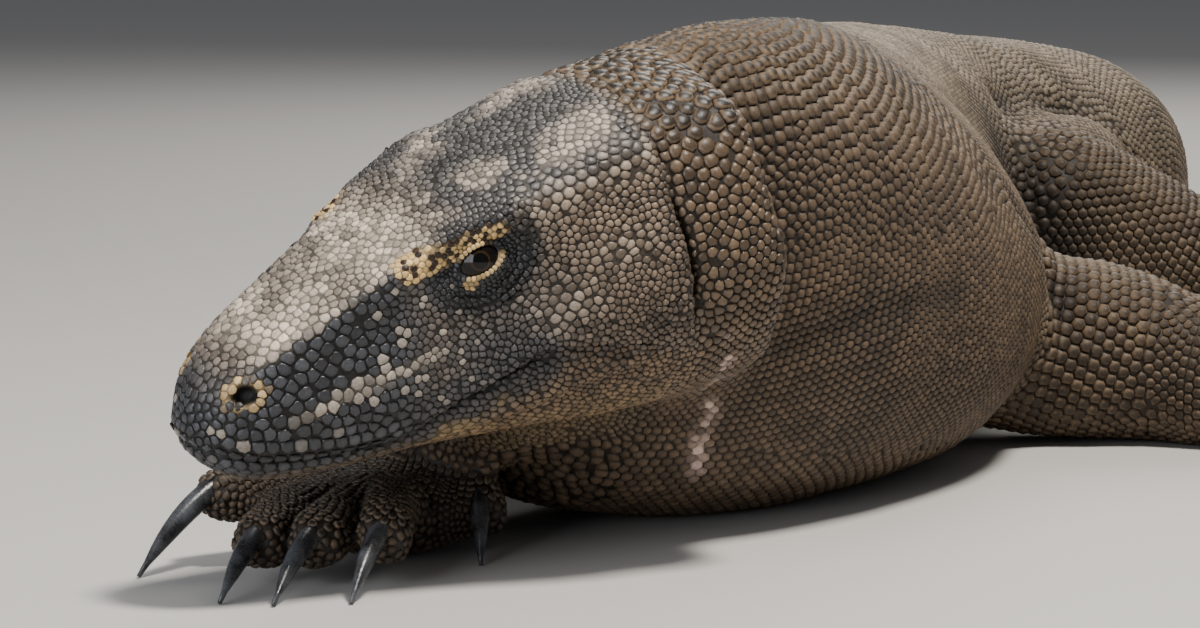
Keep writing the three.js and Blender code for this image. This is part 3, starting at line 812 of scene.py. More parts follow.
def rows_round(line, spacing, owners, reach=260, sizes=(0, 99)):
    """Seeds in rows round an axis, each row set half a scale on from the last."""
    centres, headings = stations(line, spacing)
    turn = np.arange(RAYS + 1) * 2 * math.pi / RAYS - math.pi / 2
    hits, nodes = [], []
    for centre, heading in zip(centres, headings):
        side = unit(np.cross(UP, heading))
        for ray in (np.outer(np.cos(turn), side)
                    + np.outer(np.sin(turn), np.cross(heading, side))):
            place, _, face, _ = hide_tree.ray_cast(centre, ray, reach)
            hits.append(place if place else centre)
            nodes.append(face_owner[face] if place else -1)
    hits, nodes = np.array(hits), np.array(nodes)
    out = unit(hits - np.repeat(centres, RAYS + 1, axis=0))
    size = scale_size(hits, out, np.maximum(nodes, 0))
    rings = (values.reshape(len(centres), RAYS + 1, *values.shape[1:])
             for values in (hits, nodes, size))
    seeds = []
    for row, (ring, node, pitch) in enumerate(zip(*rings)):
        steps = np.linalg.norm(np.diff(ring, axis=0), axis=1) / pitch[1:]
        total = np.concatenate([[0], np.cumsum(np.minimum(steps, 6))])
        count = max(6, round(total[-1]))
        at = (np.arange(count) + 0.5 * (row % 2)) * total[-1] / count
        nearest = np.clip(np.searchsorted(total, at), 1, RAYS)
        good = belongs(node[nearest], *owners) & belongs(node[nearest - 1], *owners)
        good &= (pitch[nearest] >= sizes[0]) & (pitch[nearest] < sizes[1])
        seeds.append(places_at(at, total, ring)[good])
    return np.vstack(seeds)


def both_sides(places):
    return [from_head(places * [1, side, 1]) for side in (1, -1)]


LIP_ROWS = ((3.3, 6.0, 0.5), (8.6, 5.8, 0.25), (-3.6, 6.2, 0.5), (-9.4, 5.6, 0.25))


def lip_rows():
    """Rows of plates along both lips: above the mouth, how far apart, where the first is."""
    line, _, starts = arc(MOUTH)
    seeds = []
    for rise, spacing, first in LIP_ROWS:
        at = np.arange(spacing * first, starts[-1] - 8, spacing)
        seeds += both_sides(places_at(at, starts, line) + [0, 0, rise])
    return np.vstack(seeds)


def side_rows():
    """Lines of beads along the temples and cheeks, and of oblong scales along the jaw."""
    places = []
    left = HEAD_AXES[:, 1]
    for side in (1, -1):
        for row, low in enumerate(np.arange(-70, 84, 3.75)):
            tilt = 0.12 * smoothstep(low, 20, 60)
            for ahead in np.arange(13 + 2.8 * (row % 2), 190, 5.5):
                start = from_head([[ahead, 100 * side, low + tilt * (80 - ahead)]])[0]
                place, normal, _, _ = hide_tree.ray_cast(start, -side * left, 96)
                if place and abs(normal.dot(left)) > 0.4:
                    places.append(place)
    places = np.array(places)
    local = folded(places)
    jaw = (local[:, 2] < -18) & (local[:, 0] < 150 + local[:, 2])
    return places[jaw | (beaded(local) > 0.45)]


def lid_rows():
    """Rings of small scales round each eye, along the folds."""
    seeds, outline = [], lid_outline()
    out = unit(np.gradient(outline, axis=0))[:, ::-1] * [1, -1]
    for ring, gap in enumerate(np.arange(1.4, 13.0, 1.85)):
        size = 1.9 + 0.06 * gap
        loop, _, starts = arc(outline + out * gap)
        flat = places_at(np.arange(size * 0.5 * (ring % 2), starts[-1], size), starts, loop)
        depth = np.sqrt(np.maximum((EYE_RADIUS + 1.7) ** 2 - (flat**2).sum(axis=1), 9))
        seeds += both_sides(EYE_CENTRE + flat[:, :1] * fissure + flat[:, 1:] * lid_rise
                            + depth[:, None] * eye_out)
    return np.vstack(seeds)


def darts(count):
    """Random places over the hide, more where the scales are small."""
    corners = surface.points[hide_corners]
    middles = corners.mean(axis=1)
    spans = np.cross(corners[:, 1] - corners[:, 0], corners[:, 2] - corners[:, 0])
    size = scale_size(middles, unit(spans), face_owner)
    share = np.linalg.norm(spans, axis=1) / size**2 / scale_stretch(middles, face_owner)
    chosen = rng.choice(len(share), count, p=share / share.sum())
    a, b = rng.random((2, count, 1))
    flip = a + b > 1
    a, b = np.where(flip, 1 - a, a), np.where(flip, 1 - b, b)
    c = corners[chosen]
    return c[:, 0] + a * (c[:, 1] - c[:, 0]) + b * (c[:, 2] - c[:, 0])


def bare(points):
    """In the eyes' openings, the nostrils or the ears' slits."""
    places = folded(points)
    in_eye = (from_opening(places)[0] < 0.9) & faces_eye(places, 2)
    reach, near = nostril_reach(places)
    slit, run = along_line(places, EAR_FOLD)
    in_slit = (slit < np.interp(run, *EAR_SLIT_BARE)) & (np.abs(places[:, 0] - 13) < 9)
    return in_eye | ((reach < 1.05) & near) | in_slit


def headings_of(points, owner):
    """Which way the scales lie: back along the head and body, out along the limbs."""
    heading = np.tile(-HEAD_AXES[:, 0], (len(points), 1))
    lines = [(TRUNK, BODY_LINE)]
    for node, line in LIMB_LINES.items():
        end = node.replace("forearm", "hand").replace("shank", "foot")
        lines.append(((node, end), line))
    for nodes, line in lines:
        chosen = belongs(owner, *nodes)
        line = np.asarray(line, float)
        middles = (line[1:] + line[:-1]) / 2
        gap = np.linalg.norm(points[chosen][:, None] - middles, axis=2)
        weight = np.exp(-((gap - gap.min(axis=1)[:, None]) / 40))
        heading[chosen] = weight @ unit(np.diff(line, axis=0))
    return unit(heading)


def squeezed(offset, lie, stretch):
    """Offsets shortened along the way the scales lie, as if the scales were round."""
    along_lie = (offset * lie).sum(axis=-1, keepdims=True)
    return offset - along_lie * lie * (1 - 1 / stretch)[..., None]


ROW_GAP, LOOSE_GAP = 0.62, 0.80  # how near a scale may be to one kept, as shares of its size
ROW_STIFF = 0.35  # how far scales of rows give way, next to loose ones


def chosen_seeds(rows, loose):
    """Keeps what is far enough apart, the rows before the loose places."""
    places, normals, owner = on_hide(np.vstack([rows, loose]))
    size = scale_size(places, normals, owner)
    stretch = scale_stretch(places, owner)
    lie = headings_of(places, owner)
    is_row = np.arange(len(places)) < len(rows)
    alive = ~bare(places)
    gap = np.where(is_row, ROW_GAP, LOOSE_GAP) * size
    tree = tree_of(places)
    kept = []
    for i in range(len(places)):
        if not alive[i]:
            continue
        kept.append(i)
        hits = tree.find_range(places[i], LOOSE_GAP * size[i] * stretch[i])
        near = np.array([hit[1] for hit in hits])
        near = near[near > i]
        offset = squeezed(places[near] - places[i], lie[i], stretch[near])
        alive[near[np.linalg.norm(offset, axis=1) < gap[near]]] = False
    kept = np.array(kept)
    return places[kept], np.where(is_row[kept], ROW_STIFF, 1.0)


def neighbours_of(points, count):
    tree = tree_of(points)
    found = [tree.find_n(point, count + 1)[1:] for point in points]
    return np.array([[hit[1] for hit in row] for row in found])


def settle(points, stiff, rounds):
    """Pushes crowded scales apart over the hide."""
    for _ in range(rounds):
        places, normals, owner = on_hide(points)
        size = scale_size(places, normals, owner)
        lie, stretch = headings_of(places, owner)[:, None], scale_stretch(places, owner)
        near = neighbours_of(places, 7)
        offset = squeezed(places[:, None] - places[near], lie, stretch[:, None])
        distance = np.linalg.norm(offset, axis=2)
        room = 1.06 * 0.5 * (size[:, None] + size[near])
        press = np.clip(room - distance, 0, None) / room
        move = (offset / distance[..., None] * press[..., None]).sum(axis=1)
        points = places + move * (0.42 * size * stiff)[:, None]
    return on_hide(points)


def all_rows():
    neck_and_head = ("neck", "chest", "head", "lower_jaw")
    neck = np.vstack([rows_round(NECK_LINE, 5.1, neck_and_head, sizes=(NAPE_FROM, 99)),
                      rows_round(NECK_LINE, 4.0, neck_and_head, sizes=(0, NAPE_FROM))])
    rows = [lid_rows(), lip_rows(), side_rows(), neck[to_head(neck)[:, 0] < 10],
            rows_round(TRUNK_LINE, 4.5, TRUNK)]
    for node, line in LIMB_LINES.items():
        size = SCALE_SIZE[PARTS[FLESH.index(node)]]
        rows.append(rows_round(line, 0.84 * size, [node], 120))
    rows += [rows_round(line, DIGIT_ROWS_MM, [hand], 24) for hand, line in DIGIT_LINES]
    return np.vstack(rows)


seeds = settle(*chosen_seeds(all_rows(), darts(DARTS)), 4)
still_clear = ~bare(seeds[0])
roots, root_normals, root_owner = (values[still_clear] for values in seeds)
root_size = scale_size(roots, root_normals, root_owner)
root_chance = rng.random(len(roots))

# ---- markings
BROW_BAND = [(128, 31, 53), (115, 34, 55), (103, 38, 58), (92, 40, 61), (79, 40, 65)]
LIP_STRIPE = [(184, 32, 5), (174, 34, 8), (158, 36, 10), (140, 38, 12), (122, 41, 17)]
JAW_PATCHES = [(138, 33, -24), (109, 39, -21), (89, 46, -16), (69, 53, -12)]
PALE_LINE = [(78, 50, 172), (80, 62, 162)]
CROWN_TAN = [(102, 17, 70), (60, 27, 78), (28, 24, 82)]
SLATE_CHEEK = np.array([98.0, 42.0, 14.0])
MARKS = ("ochre", "spot", "slate", "dust_and_sheen", "scar", "brown", "shade", "pit")


def at_eye(places):
    """How far folded places are outside the nearer eye's opening, and their lie on it."""
    outside, flat = from_opening(places)
    return np.where(faces_eye(places, 8) & (places[:, 0] > 40), outside, FAR), flat


def under_chin(up, z):
    return smoothstep(-up, 0.1, 0.7) * smoothstep(-z, 15, 30)


def ochre_marks(places, up, chance, rough):
    """The brow bands, lower lids and jaw patches, and the brown spots of the bands."""
    x, _, z = places.T
    outside, flat = at_eye(places)
    band, run = along_line(places, BROW_BAND)
    width = np.interp(run, [0, 0.4, 1], [6.4, 5.0, 3.0])
    ochre = (1 - smoothstep(band, width - 0.8, width + 0.6)) * (outside > 0.6)
    spot = ochre * (chance < 0.3)
    rim = (1 - smoothstep(outside, 1.6, 2.4)) * (flat[:, 1] < -1) * (flat[:, 0] < 5)
    patch = bell(np.hypot((flat[:, 0] - 8.0) / 1.2, flat[:, 1] + 6.0), 2.8) > 0.45
    reach, at_nostril = nostril_reach(places)
    ring = (1 - smoothstep(np.abs(reach - 1.35), 0.25, 0.6)) * (chance > 0.3)
    jaw = ridge(places, JAW_PATCHES, 8) * smoothstep(rough, 0.45, 0.62)
    under = under_chin(up, z) * (x > 20)
    return np.max([ochre, 0.8 * np.maximum(rim, patch & (outside < 6)),
                   0.6 * ring * at_nostril * (x > 190), 0.34 * jaw,
                   0.1 * under * (0.5 + rough)], axis=0), spot


def slate_marks(places, up):
    """Blue-black: the snout's sides, the lips, the cheeks, round the eyes, the crown."""
    x, _, z = places.T
    snout = smoothstep(x, 108, 140) * (1 - 0.85 * smoothstep(up, 0.58, 0.88))
    lips = 0.9 * (1 - smoothstep(along_line(places, MOUTH)[0], 9, 20))
    cheek = 0.85 * knob(places, SLATE_CHEEK, 20, (1.7, 1, 1))
    crown = smoothstep(up, 0.5, 0.85) * smoothstep(x, 118, 96) * smoothstep(x, 10, 20)
    slate = np.max([snout, smoothstep(x, 196, 212), 1 - smoothstep(at_eye(places)[0], 12, 22),
                    lips, cheek, crown], axis=0)
    return slate * (1 - 0.4 * under_chin(up, z))


def dust_and_sheen_marks(places, up, chance, rough):
    """Pale tone: dust on the snout's top, partly painted light there, and in patches on the crown;
    painted sheen on the polished beads; a pale lip stripe, partly painted highlight; pale flecks.
    """
    x, _, z = places.T
    # The snout's top: pale dust, partly painted light from above.
    snout = smoothstep(up, 0.5, 0.85) * smoothstep(x, 100, 130)
    snout *= (0.3 + 0.55 * smoothstep(rough, 0.4, 0.62)) * smoothstep(x, 206, 180)
    tan = ridge(places, CROWN_TAN, 13) * smoothstep(up, 0.35, 0.6)
    # Painted sheen on the crests of the polished beads.
    beads = (0.06 + 0.28 * chance) * beaded(places) * (x > 14)
    # The pale stripe along the upper lip, partly painted highlight.
    stripe, run = along_line(places, LIP_STRIPE)
    stripe = (1 - smoothstep(stripe, 1.8, 3.4)) * np.interp(run, [0, 0.2, 1], [0.3, 1, 0.6])
    fleck = (chance > 0.88) * smoothstep(x, 95, 120) * smoothstep(z, -14, 4) * (up < 0.7)
    return np.max([snout, 0.6 * tan * smoothstep(rough, 0.36, 0.55),
                   0.08 * smoothstep(up, 0.4, 0.8), beads,
                   0.6 * stripe * (at_eye(places)[0] > 14), 0.32 * fleck], axis=0)


def shade_marks(points, places):
    """Painted shade down in the folds, slits, nostrils, mouth line and clefts, and painted shadow
    in the pockets behind the neck's rim and the knee.
    """
    fold, run = along_line(places, EAR_FOLD)
    slit = bell(fold, 3.4) * np.interp(run, [0, 0.3, 0.5, 0.9, 1], [0.2, 0.6, 1, 1, 0.4])
    outside, _ = at_eye(places)
    lids = 0.5 * (1 - smoothstep(outside, 10, 20)) * (outside > 1.4)
    folds = -1.2 * (orbital_folds(places) + bulge_wrinkles(places))
    reach, near = nostril_reach(places)
    head = np.max([slit, ridge(places, MOUTH, 2.4), 0.7 * ridge(places, MOUTH_CORNER, 4), lids,
                   folds, 0.6 * ridge(places, UNDER_JAW, 4.5), (reach < 1.1) & near], axis=0)
    pocket = np.add(NECK_RIM[2:], (9, 16, -2))
    return np.max([head * on_head(points, -10), 0.85 * ridge(points, pocket, 11),
                   0.95 * ridge(points, KNEE_POCKET, 24), 0.85 * ridge(points, KNEE_BACK, 12),
                   0.9 * clefts(points), 0.5 * ridge(points, NECK_GROOVE, 8)], axis=0)


def marks(points, normals, owner, chance):
    """How much of each tone a place has, from 0 to 1, by where it lies on the animal."""
    places = folded(points)
    up = normals @ HEAD_AXES[:, 2]
    head = head_share(points, owner)
    rough, broad = clouds(points, 14, 11), clouds(points, 60, 21)
    ochre, spot = (head * value for value in ochre_marks(places, up, chance, rough))
    slate = head * slate_marks(places, up) * (1 - ochre)
    behind = smoothstep(points[:, 1], 330, 520)
    backs = smoothstep(normals[:, 2], 0.2, 0.9) * (1 - head) * (0.02 + 0.18 * behind)
    dust_and_sheen = np.maximum(head * dust_and_sheen_marks(places, up, chance, rough),
                      backs * smoothstep(broad, 0.3, 0.7))
    scar = np.maximum(ridge(points, SCAR, 3.3) * smoothstep(rough, 0.38, 0.52),
                      0.45 * ridge(points, PALE_LINE, 2.2))
    brown = (1 - head) * (1 - 0.6 * behind) * (0.8 + 0.4 * broad)
    # Less brown along the neck's rim: a paler band, painted light on the ridge.
    brown *= 1 - 0.6 * ridge(points, NECK_RIM, 10)
    jaw_and_temple = np.maximum(0.7 * smoothstep(-places[:, 2], 0, 30),
                                0.6 * smoothstep(places[:, 0], 84, 60))
    brown = np.maximum(brown, head * jaw_and_temple)
    arms = belongs(owner, "upper_arm", "forearm", "shank")
    pit = (1 - head) * np.maximum(on_nape(points, normals), 0.7 * arms)
    shade = np.maximum(shade_marks(points, places), 0.5 * belongs(owner, "hand", "foot"))
    values = (ochre, spot, slate, dust_and_sheen, scar, brown, shade * (1 - 0.8 * ochre), pit)
    return {name: np.clip(value, 0, 1) for name, value in zip(MARKS, values)}


def put_attributes(mesh, values):
    for name, value in values.items():
        attribute = mesh.attributes.new(name, "FLOAT", "POINT")
        attribute.data.foreach_set("value", np.asarray(value, np.float32))


# The hide between scales takes the dark groove tone: partly the skin's own darker tone, partly
# painted shade.
HIDE_TIP = 0.12  # the hide between the scales is toned as low on a scale as this
hide_chance = value_noise(surface.points, 5, 5)
hide_marks = marks(surface.points, hide_normals, hide_owner, hide_chance)
put_attributes(hide.data, hide_marks | {"tip": np.full(len(hide_chance), HIDE_TIP),
                                        "chance": hide_chance})

# ---- scales
# Rings of a scale from its sunk edge to its top: share of its width, share of its height.
BEAD = ((1.0, None), (0.80, 0.66), (0.0, 1.0))
PLATE = ((1.0, None), (0.93, 0.45), (0.70, 0.86), (0.0, 1.0))
SUNK_MM = 0.3
ROOF = 0.49  # of the way to a neighbour that the edge reaches
WIDEST = 0.70  # how far an edge may be from its root, as a share of the scale's size
PATCH = 0.003  # how wide a scale is on the map
MAP_EDGE = 0.02
MOST_BEADS, MOST_PLATES = 10800, 4900  # in one piece
PIECES = {
    "head": (("head",), "head_hide"), "jaw": (("lower_jaw",), "jaw_hide"),
    "neck": (("neck",), "body_hide"), "chest": (("chest",), "body_hide"),
    "flanks": (("abdomen",), "body_hide"), "hips": (("pelvis",), "body_hide"),
    "tail_base": (("tail_1", "tail_2"), "body_hide"),
    "tail_end": (("tail_3", "tail_4"), "body_hide"),
    "arms": (("upper_arm", "forearm"), "limb_hide"),
    "legs": (("thigh", "shank"), "limb_hide"),
    "hands": (("hand",), "limb_hide"), "feet": (("foot",), "limb_hide"),
}
root_stretch = scale_stretch(roots, root_owner)
root_marks = marks(roots, root_normals, root_owner, root_chance)
heading = headings_of(roots, root_owner)
along = unit(heading - root_normals * (heading * root_normals).sum(axis=1)[:, None])
across = np.cross(root_normals, along)


def outlines(sides):
    """For each scale, how far its edge is from its root in each direction."""
    near = neighbours_of(roots, 9)
    offset = roots[near] - roots[:, None]
    x = (offset * along[:, None]).sum(axis=2)
    y = (offset * across[:, None]).sum(axis=2)
    share = root_size[:, None] / (root_size[:, None] + root_size[near])
    half = 2 * ROOF * np.hypot(x, y) * share
    turn = turns(sides)
    facing = np.cos(turn[None, None] - np.arctan2(y, x)[..., None])
    edge = np.where(facing > 0.15, half[..., None] / np.maximum(facing, 0.15), np.inf)
    longest = np.hypot(1.0, root_stretch[:, None] * np.cos(turn) * 0.5)
    return np.minimum(edge.min(axis=1), WIDEST * root_size[:, None] * longest), turn


def on_map(share):
    return MAP_EDGE + (1 - 2 * MAP_EDGE) * share


def chart_on(points, line):
    """How far along a line places are, and which way round it, both from 0 to 1."""
    _, at = along_line(points, line)
    line, lengths, starts = arc(line)
    starts = starts / lengths.sum()
    centre, step, back = (places_at(at + on, starts, line) for on in (0, 0.01, -0.01))
    run = unit(step - back)
    side = unit(np.cross(UP, run))
    offset = points - centre
    turn = np.arctan2((offset * np.cross(run, side)).sum(axis=1), (offset * side).sum(axis=1))
    return at, on_map((turn / (2 * math.pi) + 0.25) % 1.0)


def chart(chosen, part):
    """Where scales' roots fall on an unwrap of their part: along its axis, and round it."""
    points, owner = roots[chosen], root_owner[chosen]
    if part in ("hands", "feet"):
        low, high = points.min(axis=0), points.max(axis=0)
        flat = (points - low) / (high - low).max()
        under = root_normals[chosen, 2] < 0
        return on_map(flat[:, 0]), MAP_EDGE + 0.46 * flat[:, 1] + 0.5 * under
    if part in ("arms", "legs"):
        station, turn = np.zeros(len(points)), np.zeros(len(points))
        names = [n for n in LIMB_LINES if n.startswith(("upper", "fore")) == (part == "arms")]
        for slot, name in enumerate(names):
            mine = owner == FLESH.index(name)
            at, turn[mine] = chart_on(points[mine], LIMB_LINES[name])
            station[mine] = (slot + 0.04 + 0.92 * at) / len(names)
        return station, turn
    at, turn = chart_on(points, part_line(part))
    return on_map((at - at.min()) / (at.max() - at.min())), turn


def part_line(part):
    return HEAD_LINE if part in ("head", "jaw") else BODY_LINE


def scale_mesh(name, chosen, place_on_map, edge, turn, rings, lean, height):
    """One mesh of many scales: each a low dome on its root, its edge sunk in the hide."""
    count, sides = len(chosen), len(turn)
    root, out, ahead, aside = (v[chosen, None] for v in (roots, root_normals, along, across))
    spokes = ahead * np.cos(turn)[:, None] + aside * np.sin(turn)[:, None]
    tall = height[chosen][:, None, None]
    points, tips, maps = [], [], []
    u, v = (value[:, None] for value in place_on_map)
    for width, rise in rings:
        copies = sides if width else 1
        middle = root + ahead * (lean * (rise or 0) * tall)
        ring = middle + out * (-SUNK_MM if rise is None else tall * rise)
        ring = ring + (spokes * (edge[chosen] * width)[..., None] if width else 0)
        points.append(ring[:, :copies])
        tips.append(np.full((count, copies), rise or 0.0))
        angle = turn[:copies]
        maps.append(np.stack([u + PATCH / 2 * width * np.cos(angle),
                              v + PATCH / 2 * width * np.sin(angle)], axis=-1))
    points = np.concatenate(points, axis=1)
    each = points.shape[1]
    faces, rim = bands(len(rings) - 1, sides)
    start = (np.arange(count) * each)[:, None, None]
    quads = (start + np.array(faces)[None]).reshape(-1, 4)
    tris = (start + np.array([(a, b, each - 1) for a, b in rim])[None]).reshape(-1, 3)
    mesh = bpy.data.meshes.new(name)
    mesh.vertices.add(count * each)
    mesh.vertices.foreach_set("co", to_row(points.reshape(-1, 3)).astype(np.float32).ravel())
    mesh.loops.add(quads.size + tris.size)
    loops = np.concatenate([quads.ravel(), tris.ravel()])
    mesh.loops.foreach_set("vertex_index", loops)
    mesh.polygons.add(len(quads) + len(tris))
    mesh.polygons.foreach_set("loop_start", np.concatenate(
        [np.arange(len(quads)) * 4, quads.size + np.arange(len(tris)) * 3]))
    mesh.update(calc_edges=True)
    mesh.validate()
    shade_smooth(mesh)
    layer = mesh.uv_layers.new(name="OFBake")
    flat = np.concatenate(maps, axis=1).reshape(-1, 2)
    layer.data.foreach_set("uv", flat[loops].astype(np.float32).ravel())
    values = {key: np.repeat(value[chosen], each) for key, value in root_marks.items()}
    values["tip"] = np.concatenate(tips, axis=1).ravel()
    values["chance"] = np.repeat(root_chance[chosen], each)
    put_attributes(mesh, values)
    return object_of(name, mesh)


def scale_heights():
    """Plates and the crown's scales are flatter, those of the nape and arms taller."""
    up = root_normals @ HEAD_AXES[:, 2]
    head = belongs(root_owner, "head", "lower_jaw")
    plate = smoothstep(folded(roots)[:, 0], 95, 130) * head
    flat = np.maximum(plate, 0.6 * (head * smoothstep(up, 0.5, 0.8)))
    raised = 1 + 0.35 * root_marks["pit"]
    return root_size * raised * (0.30 - 0.12 * flat) * (0.88 + 0.24 * root_chance)


def add_scales():
    height = scale_heights()
    beads, plates = (*outlines(6), BEAD, 0.5, height), (*outlines(8), PLATE, 0.3, height)
    part_of = np.array(PARTS)[root_owner]
    made = []
    for name, (parts, slot) in PIECES.items():
        mine = np.flatnonzero(np.isin(part_of, parts))
        fine = name in ("head", "jaw")
        batches = math.ceil(len(mine) / (MOST_PLATES if fine else MOST_BEADS))
        order = mine[np.argsort(along_line(roots[mine], part_line(name))[1])]
        for batch, chosen in enumerate(np.array_split(order, batches)):
            label = "scales_" + name + ("" if batches == 1 else "_%d" % (batch + 1))
            piece = scale_mesh(label, chosen, chart(chosen, name), *(plates if fine else beads))
            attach(piece, "root")
            made.append((piece, slot))
    return made


scale_pieces = add_scales()

# ---- materials
class Nodes:
    """Adds and wires the nodes of one node tree."""

    def __init__(self, tree):
        self.tree = tree

    def add(self, kind, **settings):
        node = self.tree.nodes.new(kind)
        for name, value in settings.items():
            setattr(node, name, value)
        return node

    def set(self, socket, value):
        if isinstance(value, bpy.types.NodeSocket):
            self.tree.links.new(value, socket)
        else:
            socket.default_value = value

    def fill(self, node, *values, **named):
        """Sets a node's first inputs in order, and others by name; gives its first output."""
        for socket, value in zip(node.inputs, values):
            self.set(socket, value)
        for name, value in named.items():
            self.set(node.inputs[name], value)
        return node.outputs[0]

    def mask(self, name):
        return self.add("ShaderNodeAttribute", attribute_name=name).outputs["Fac"]

    def place(self):
        return self.add("ShaderNodeTexCoord").outputs["Object"]

    def math(self, operation, a, b=0.0, clamp=False):
        return self.fill(self.add("ShaderNodeMath", operation=operation, use_clamp=clamp), a, b)

    def times(self, a, b):
        return self.math("MULTIPLY", a, b)

    def span(self, value, low, high, to_low=0.0, to_high=1.0):
        return self.fill(self.add("ShaderNodeMapRange"), value, low, high, to_low, to_high)

    def mix(self, share, a, b, blend="MIX"):
        node = self.add("ShaderNodeMix", data_type="RGBA", blend_type=blend)
        self.fill(node, Factor=share, A=a, B=b)
        return node.outputs["Result"]

    def noise(self, place, scale, detail=3.0):
        node = self.add("ShaderNodeTexNoise")
        self.fill(node, Vector=place, Scale=scale, Detail=detail)
        return node.outputs["Fac"]

    def relief(self, shader, height, strength):
        node = self.add("ShaderNodeBump")
        self.fill(node, Strength=strength, Distance=0.0004, Height=height)
        self.set(shader["Normal"], node.outputs["Normal"])


def new_material(name):
    """A material, its nodes, and the inputs of its shader."""
    material = bpy.data.materials.new(name)
    material.use_nodes = True
    tree = material.node_tree
    return material, Nodes(tree), tree.nodes["Principled BSDF"].inputs


def new_group(name, inputs, outputs):
    tree = bpy.data.node_groups.new(name, "ShaderNodeTree")
    for title, kind, value in inputs:
        socket = tree.interface.new_socket(title, in_out="INPUT", socket_type=kind)
        socket.default_value = value
    for title, kind in outputs:
        tree.interface.new_socket(title, in_out="OUTPUT", socket_type=kind)
    nodes = Nodes(tree)
    return nodes, nodes.add("NodeGroupInput").outputs, nodes.add("NodeGroupOutput").inputs


def linear(*colour):
    def one(value):
        value /= 255
        return value / 12.92 if value <= 0.04045 else ((value + 0.055) / 1.055) ** 2.4
    return tuple(one(value) for value in colour) + (1.0,)


# Groove tones are partly the skin's own darker tone and partly painted shade between the scales;
# crest tones are partly painted light on their tops.
SLATE = linear(13, 12, 12), linear(57, 58, 62)  # in the grooves, and on the crests
BROWN = linear(26, 18, 11), linear(92, 75, 57)
PIT_RIM, PIT_TOP = linear(98, 81, 62), linear(30, 24, 19)
# Pale tone of dust, also used for the painted sheen on bead crests and the painted highlight of
# the lip stripe.
DUST_AND_SHEEN, SCAR_TONE = linear(190, 176, 158), linear(196, 172, 160)
OCHRE, SPOT = linear(190, 160, 108), linear(46, 26, 15)


def markings_group():
    """Tone of hide and scales from their masks, with grain: colour, gloss and height."""
    colour, number = "NodeSocketColor", "NodeSocketFloat"
    nodes, given, out = new_group(
        "dragon_markings",
        [("Groove", colour, (0.02, 0.018, 0.015, 1)), ("Crest", colour, (0.2, 0.18, 0.14, 1)),
         ("Variation", number, 0.5), ("Roughness", number, 0.6)],
        [("Color", colour), ("Roughness", number), ("Height", number)])
    place, tip, chance, dust_and_sheen = nodes.place(), *(nodes.mask(n) for n in ("tip", "chance", "dust_and_sheen"))
    # From groove to crest: partly the skin's own darker tone between scales, partly painted shade
    # in the grooves and painted light on the crests.
    crest = nodes.span(tip, 0.05, 0.95)
    rim = nodes.mix(nodes.span(tip, 0.1, 0.4), BROWN[0], PIT_RIM)
    layers = (
        (nodes.mask("brown"), nodes.mix(crest, *BROWN)),
        (nodes.mask("pit"), nodes.mix(nodes.span(tip, 0.68, 0.84), rim, PIT_TOP)),
        (nodes.mask("slate"), nodes.mix(nodes.math("POWER", crest, 1.6), *SLATE)),
        # Pale dust and painted sheen, weighted towards the crests.
        (nodes.times(dust_and_sheen, nodes.span(tip, 0, 0.7, 0.25, 1.0)), DUST_AND_SHEEN),
        (nodes.times(nodes.mask("ochre"), nodes.span(tip, 0, 0.6, 0.45, 1.0)), OCHRE),
        (nodes.mask("spot"), SPOT),
        (nodes.mask("scar"), SCAR_TONE),
    )
    tone = nodes.mix(crest, given["Groove"], given["Crest"])
    for share, layer in layers:
        tone = nodes.mix(share, tone, layer)
    patchy = nodes.span(nodes.noise(place, 38.0), 0.3, 0.7, 0.78, 1.22)
    # Darker where the shade mask is: painted shade and shadow in the folds and pockets.
    patchy = nodes.times(patchy, nodes.span(nodes.mask("shade"), 0, 1, 1.0, 0.22))
    speckle = nodes.span(nodes.noise(place, 900.0, 2.0), 0.3, 0.7, 0.8, 1.2)
    swing = nodes.times(nodes.math("SUBTRACT", chance, 0.5), given["Variation"])
    level = nodes.times(nodes.math("ADD", swing, 1.0), nodes.times(patchy, speckle))
    grey = nodes.fill(nodes.add("ShaderNodeCombineColor"), level, level, level)
    nodes.set(out["Color"], nodes.mix(1.0, tone, grey, "MULTIPLY"))
    shine = nodes.times(nodes.span(nodes.noise(place, 220.0), 0.3, 0.7, -0.1, 0.1),
                        nodes.span(tip, 0, 1, 1.0, 0.8))
    rough = nodes.math("ADD", given["Roughness"], shine)
    nodes.set(out["Roughness"], nodes.math("ADD", rough, nodes.times(dust_and_sheen, 0.18), clamp=True))
    nodes.set(out["Height"], nodes.noise(place, 1500.0, 3.0))
    return nodes.tree


MARKINGS = markings_group()


def hide_material(name, groove, crest, variation, roughness):
    material, nodes, shader = new_material(name)
    group = nodes.add("ShaderNodeGroup", node_tree=MARKINGS)
    nodes.fill(group, linear(*groove), linear(*crest), variation, roughness)
    nodes.set(shader["Base Color"], group.outputs["Color"])
    nodes.set(shader["Roughness"], group.outputs["Roughness"])
    nodes.set(shader["Specular IOR Level"], 0.42)
    nodes.relief(shader, group.outputs["Height"], 0.35)
    return material


PUPIL, IRIS, WHITE = 16.5, 34.0, 38.0  # degrees off the eye's axis, at their edges


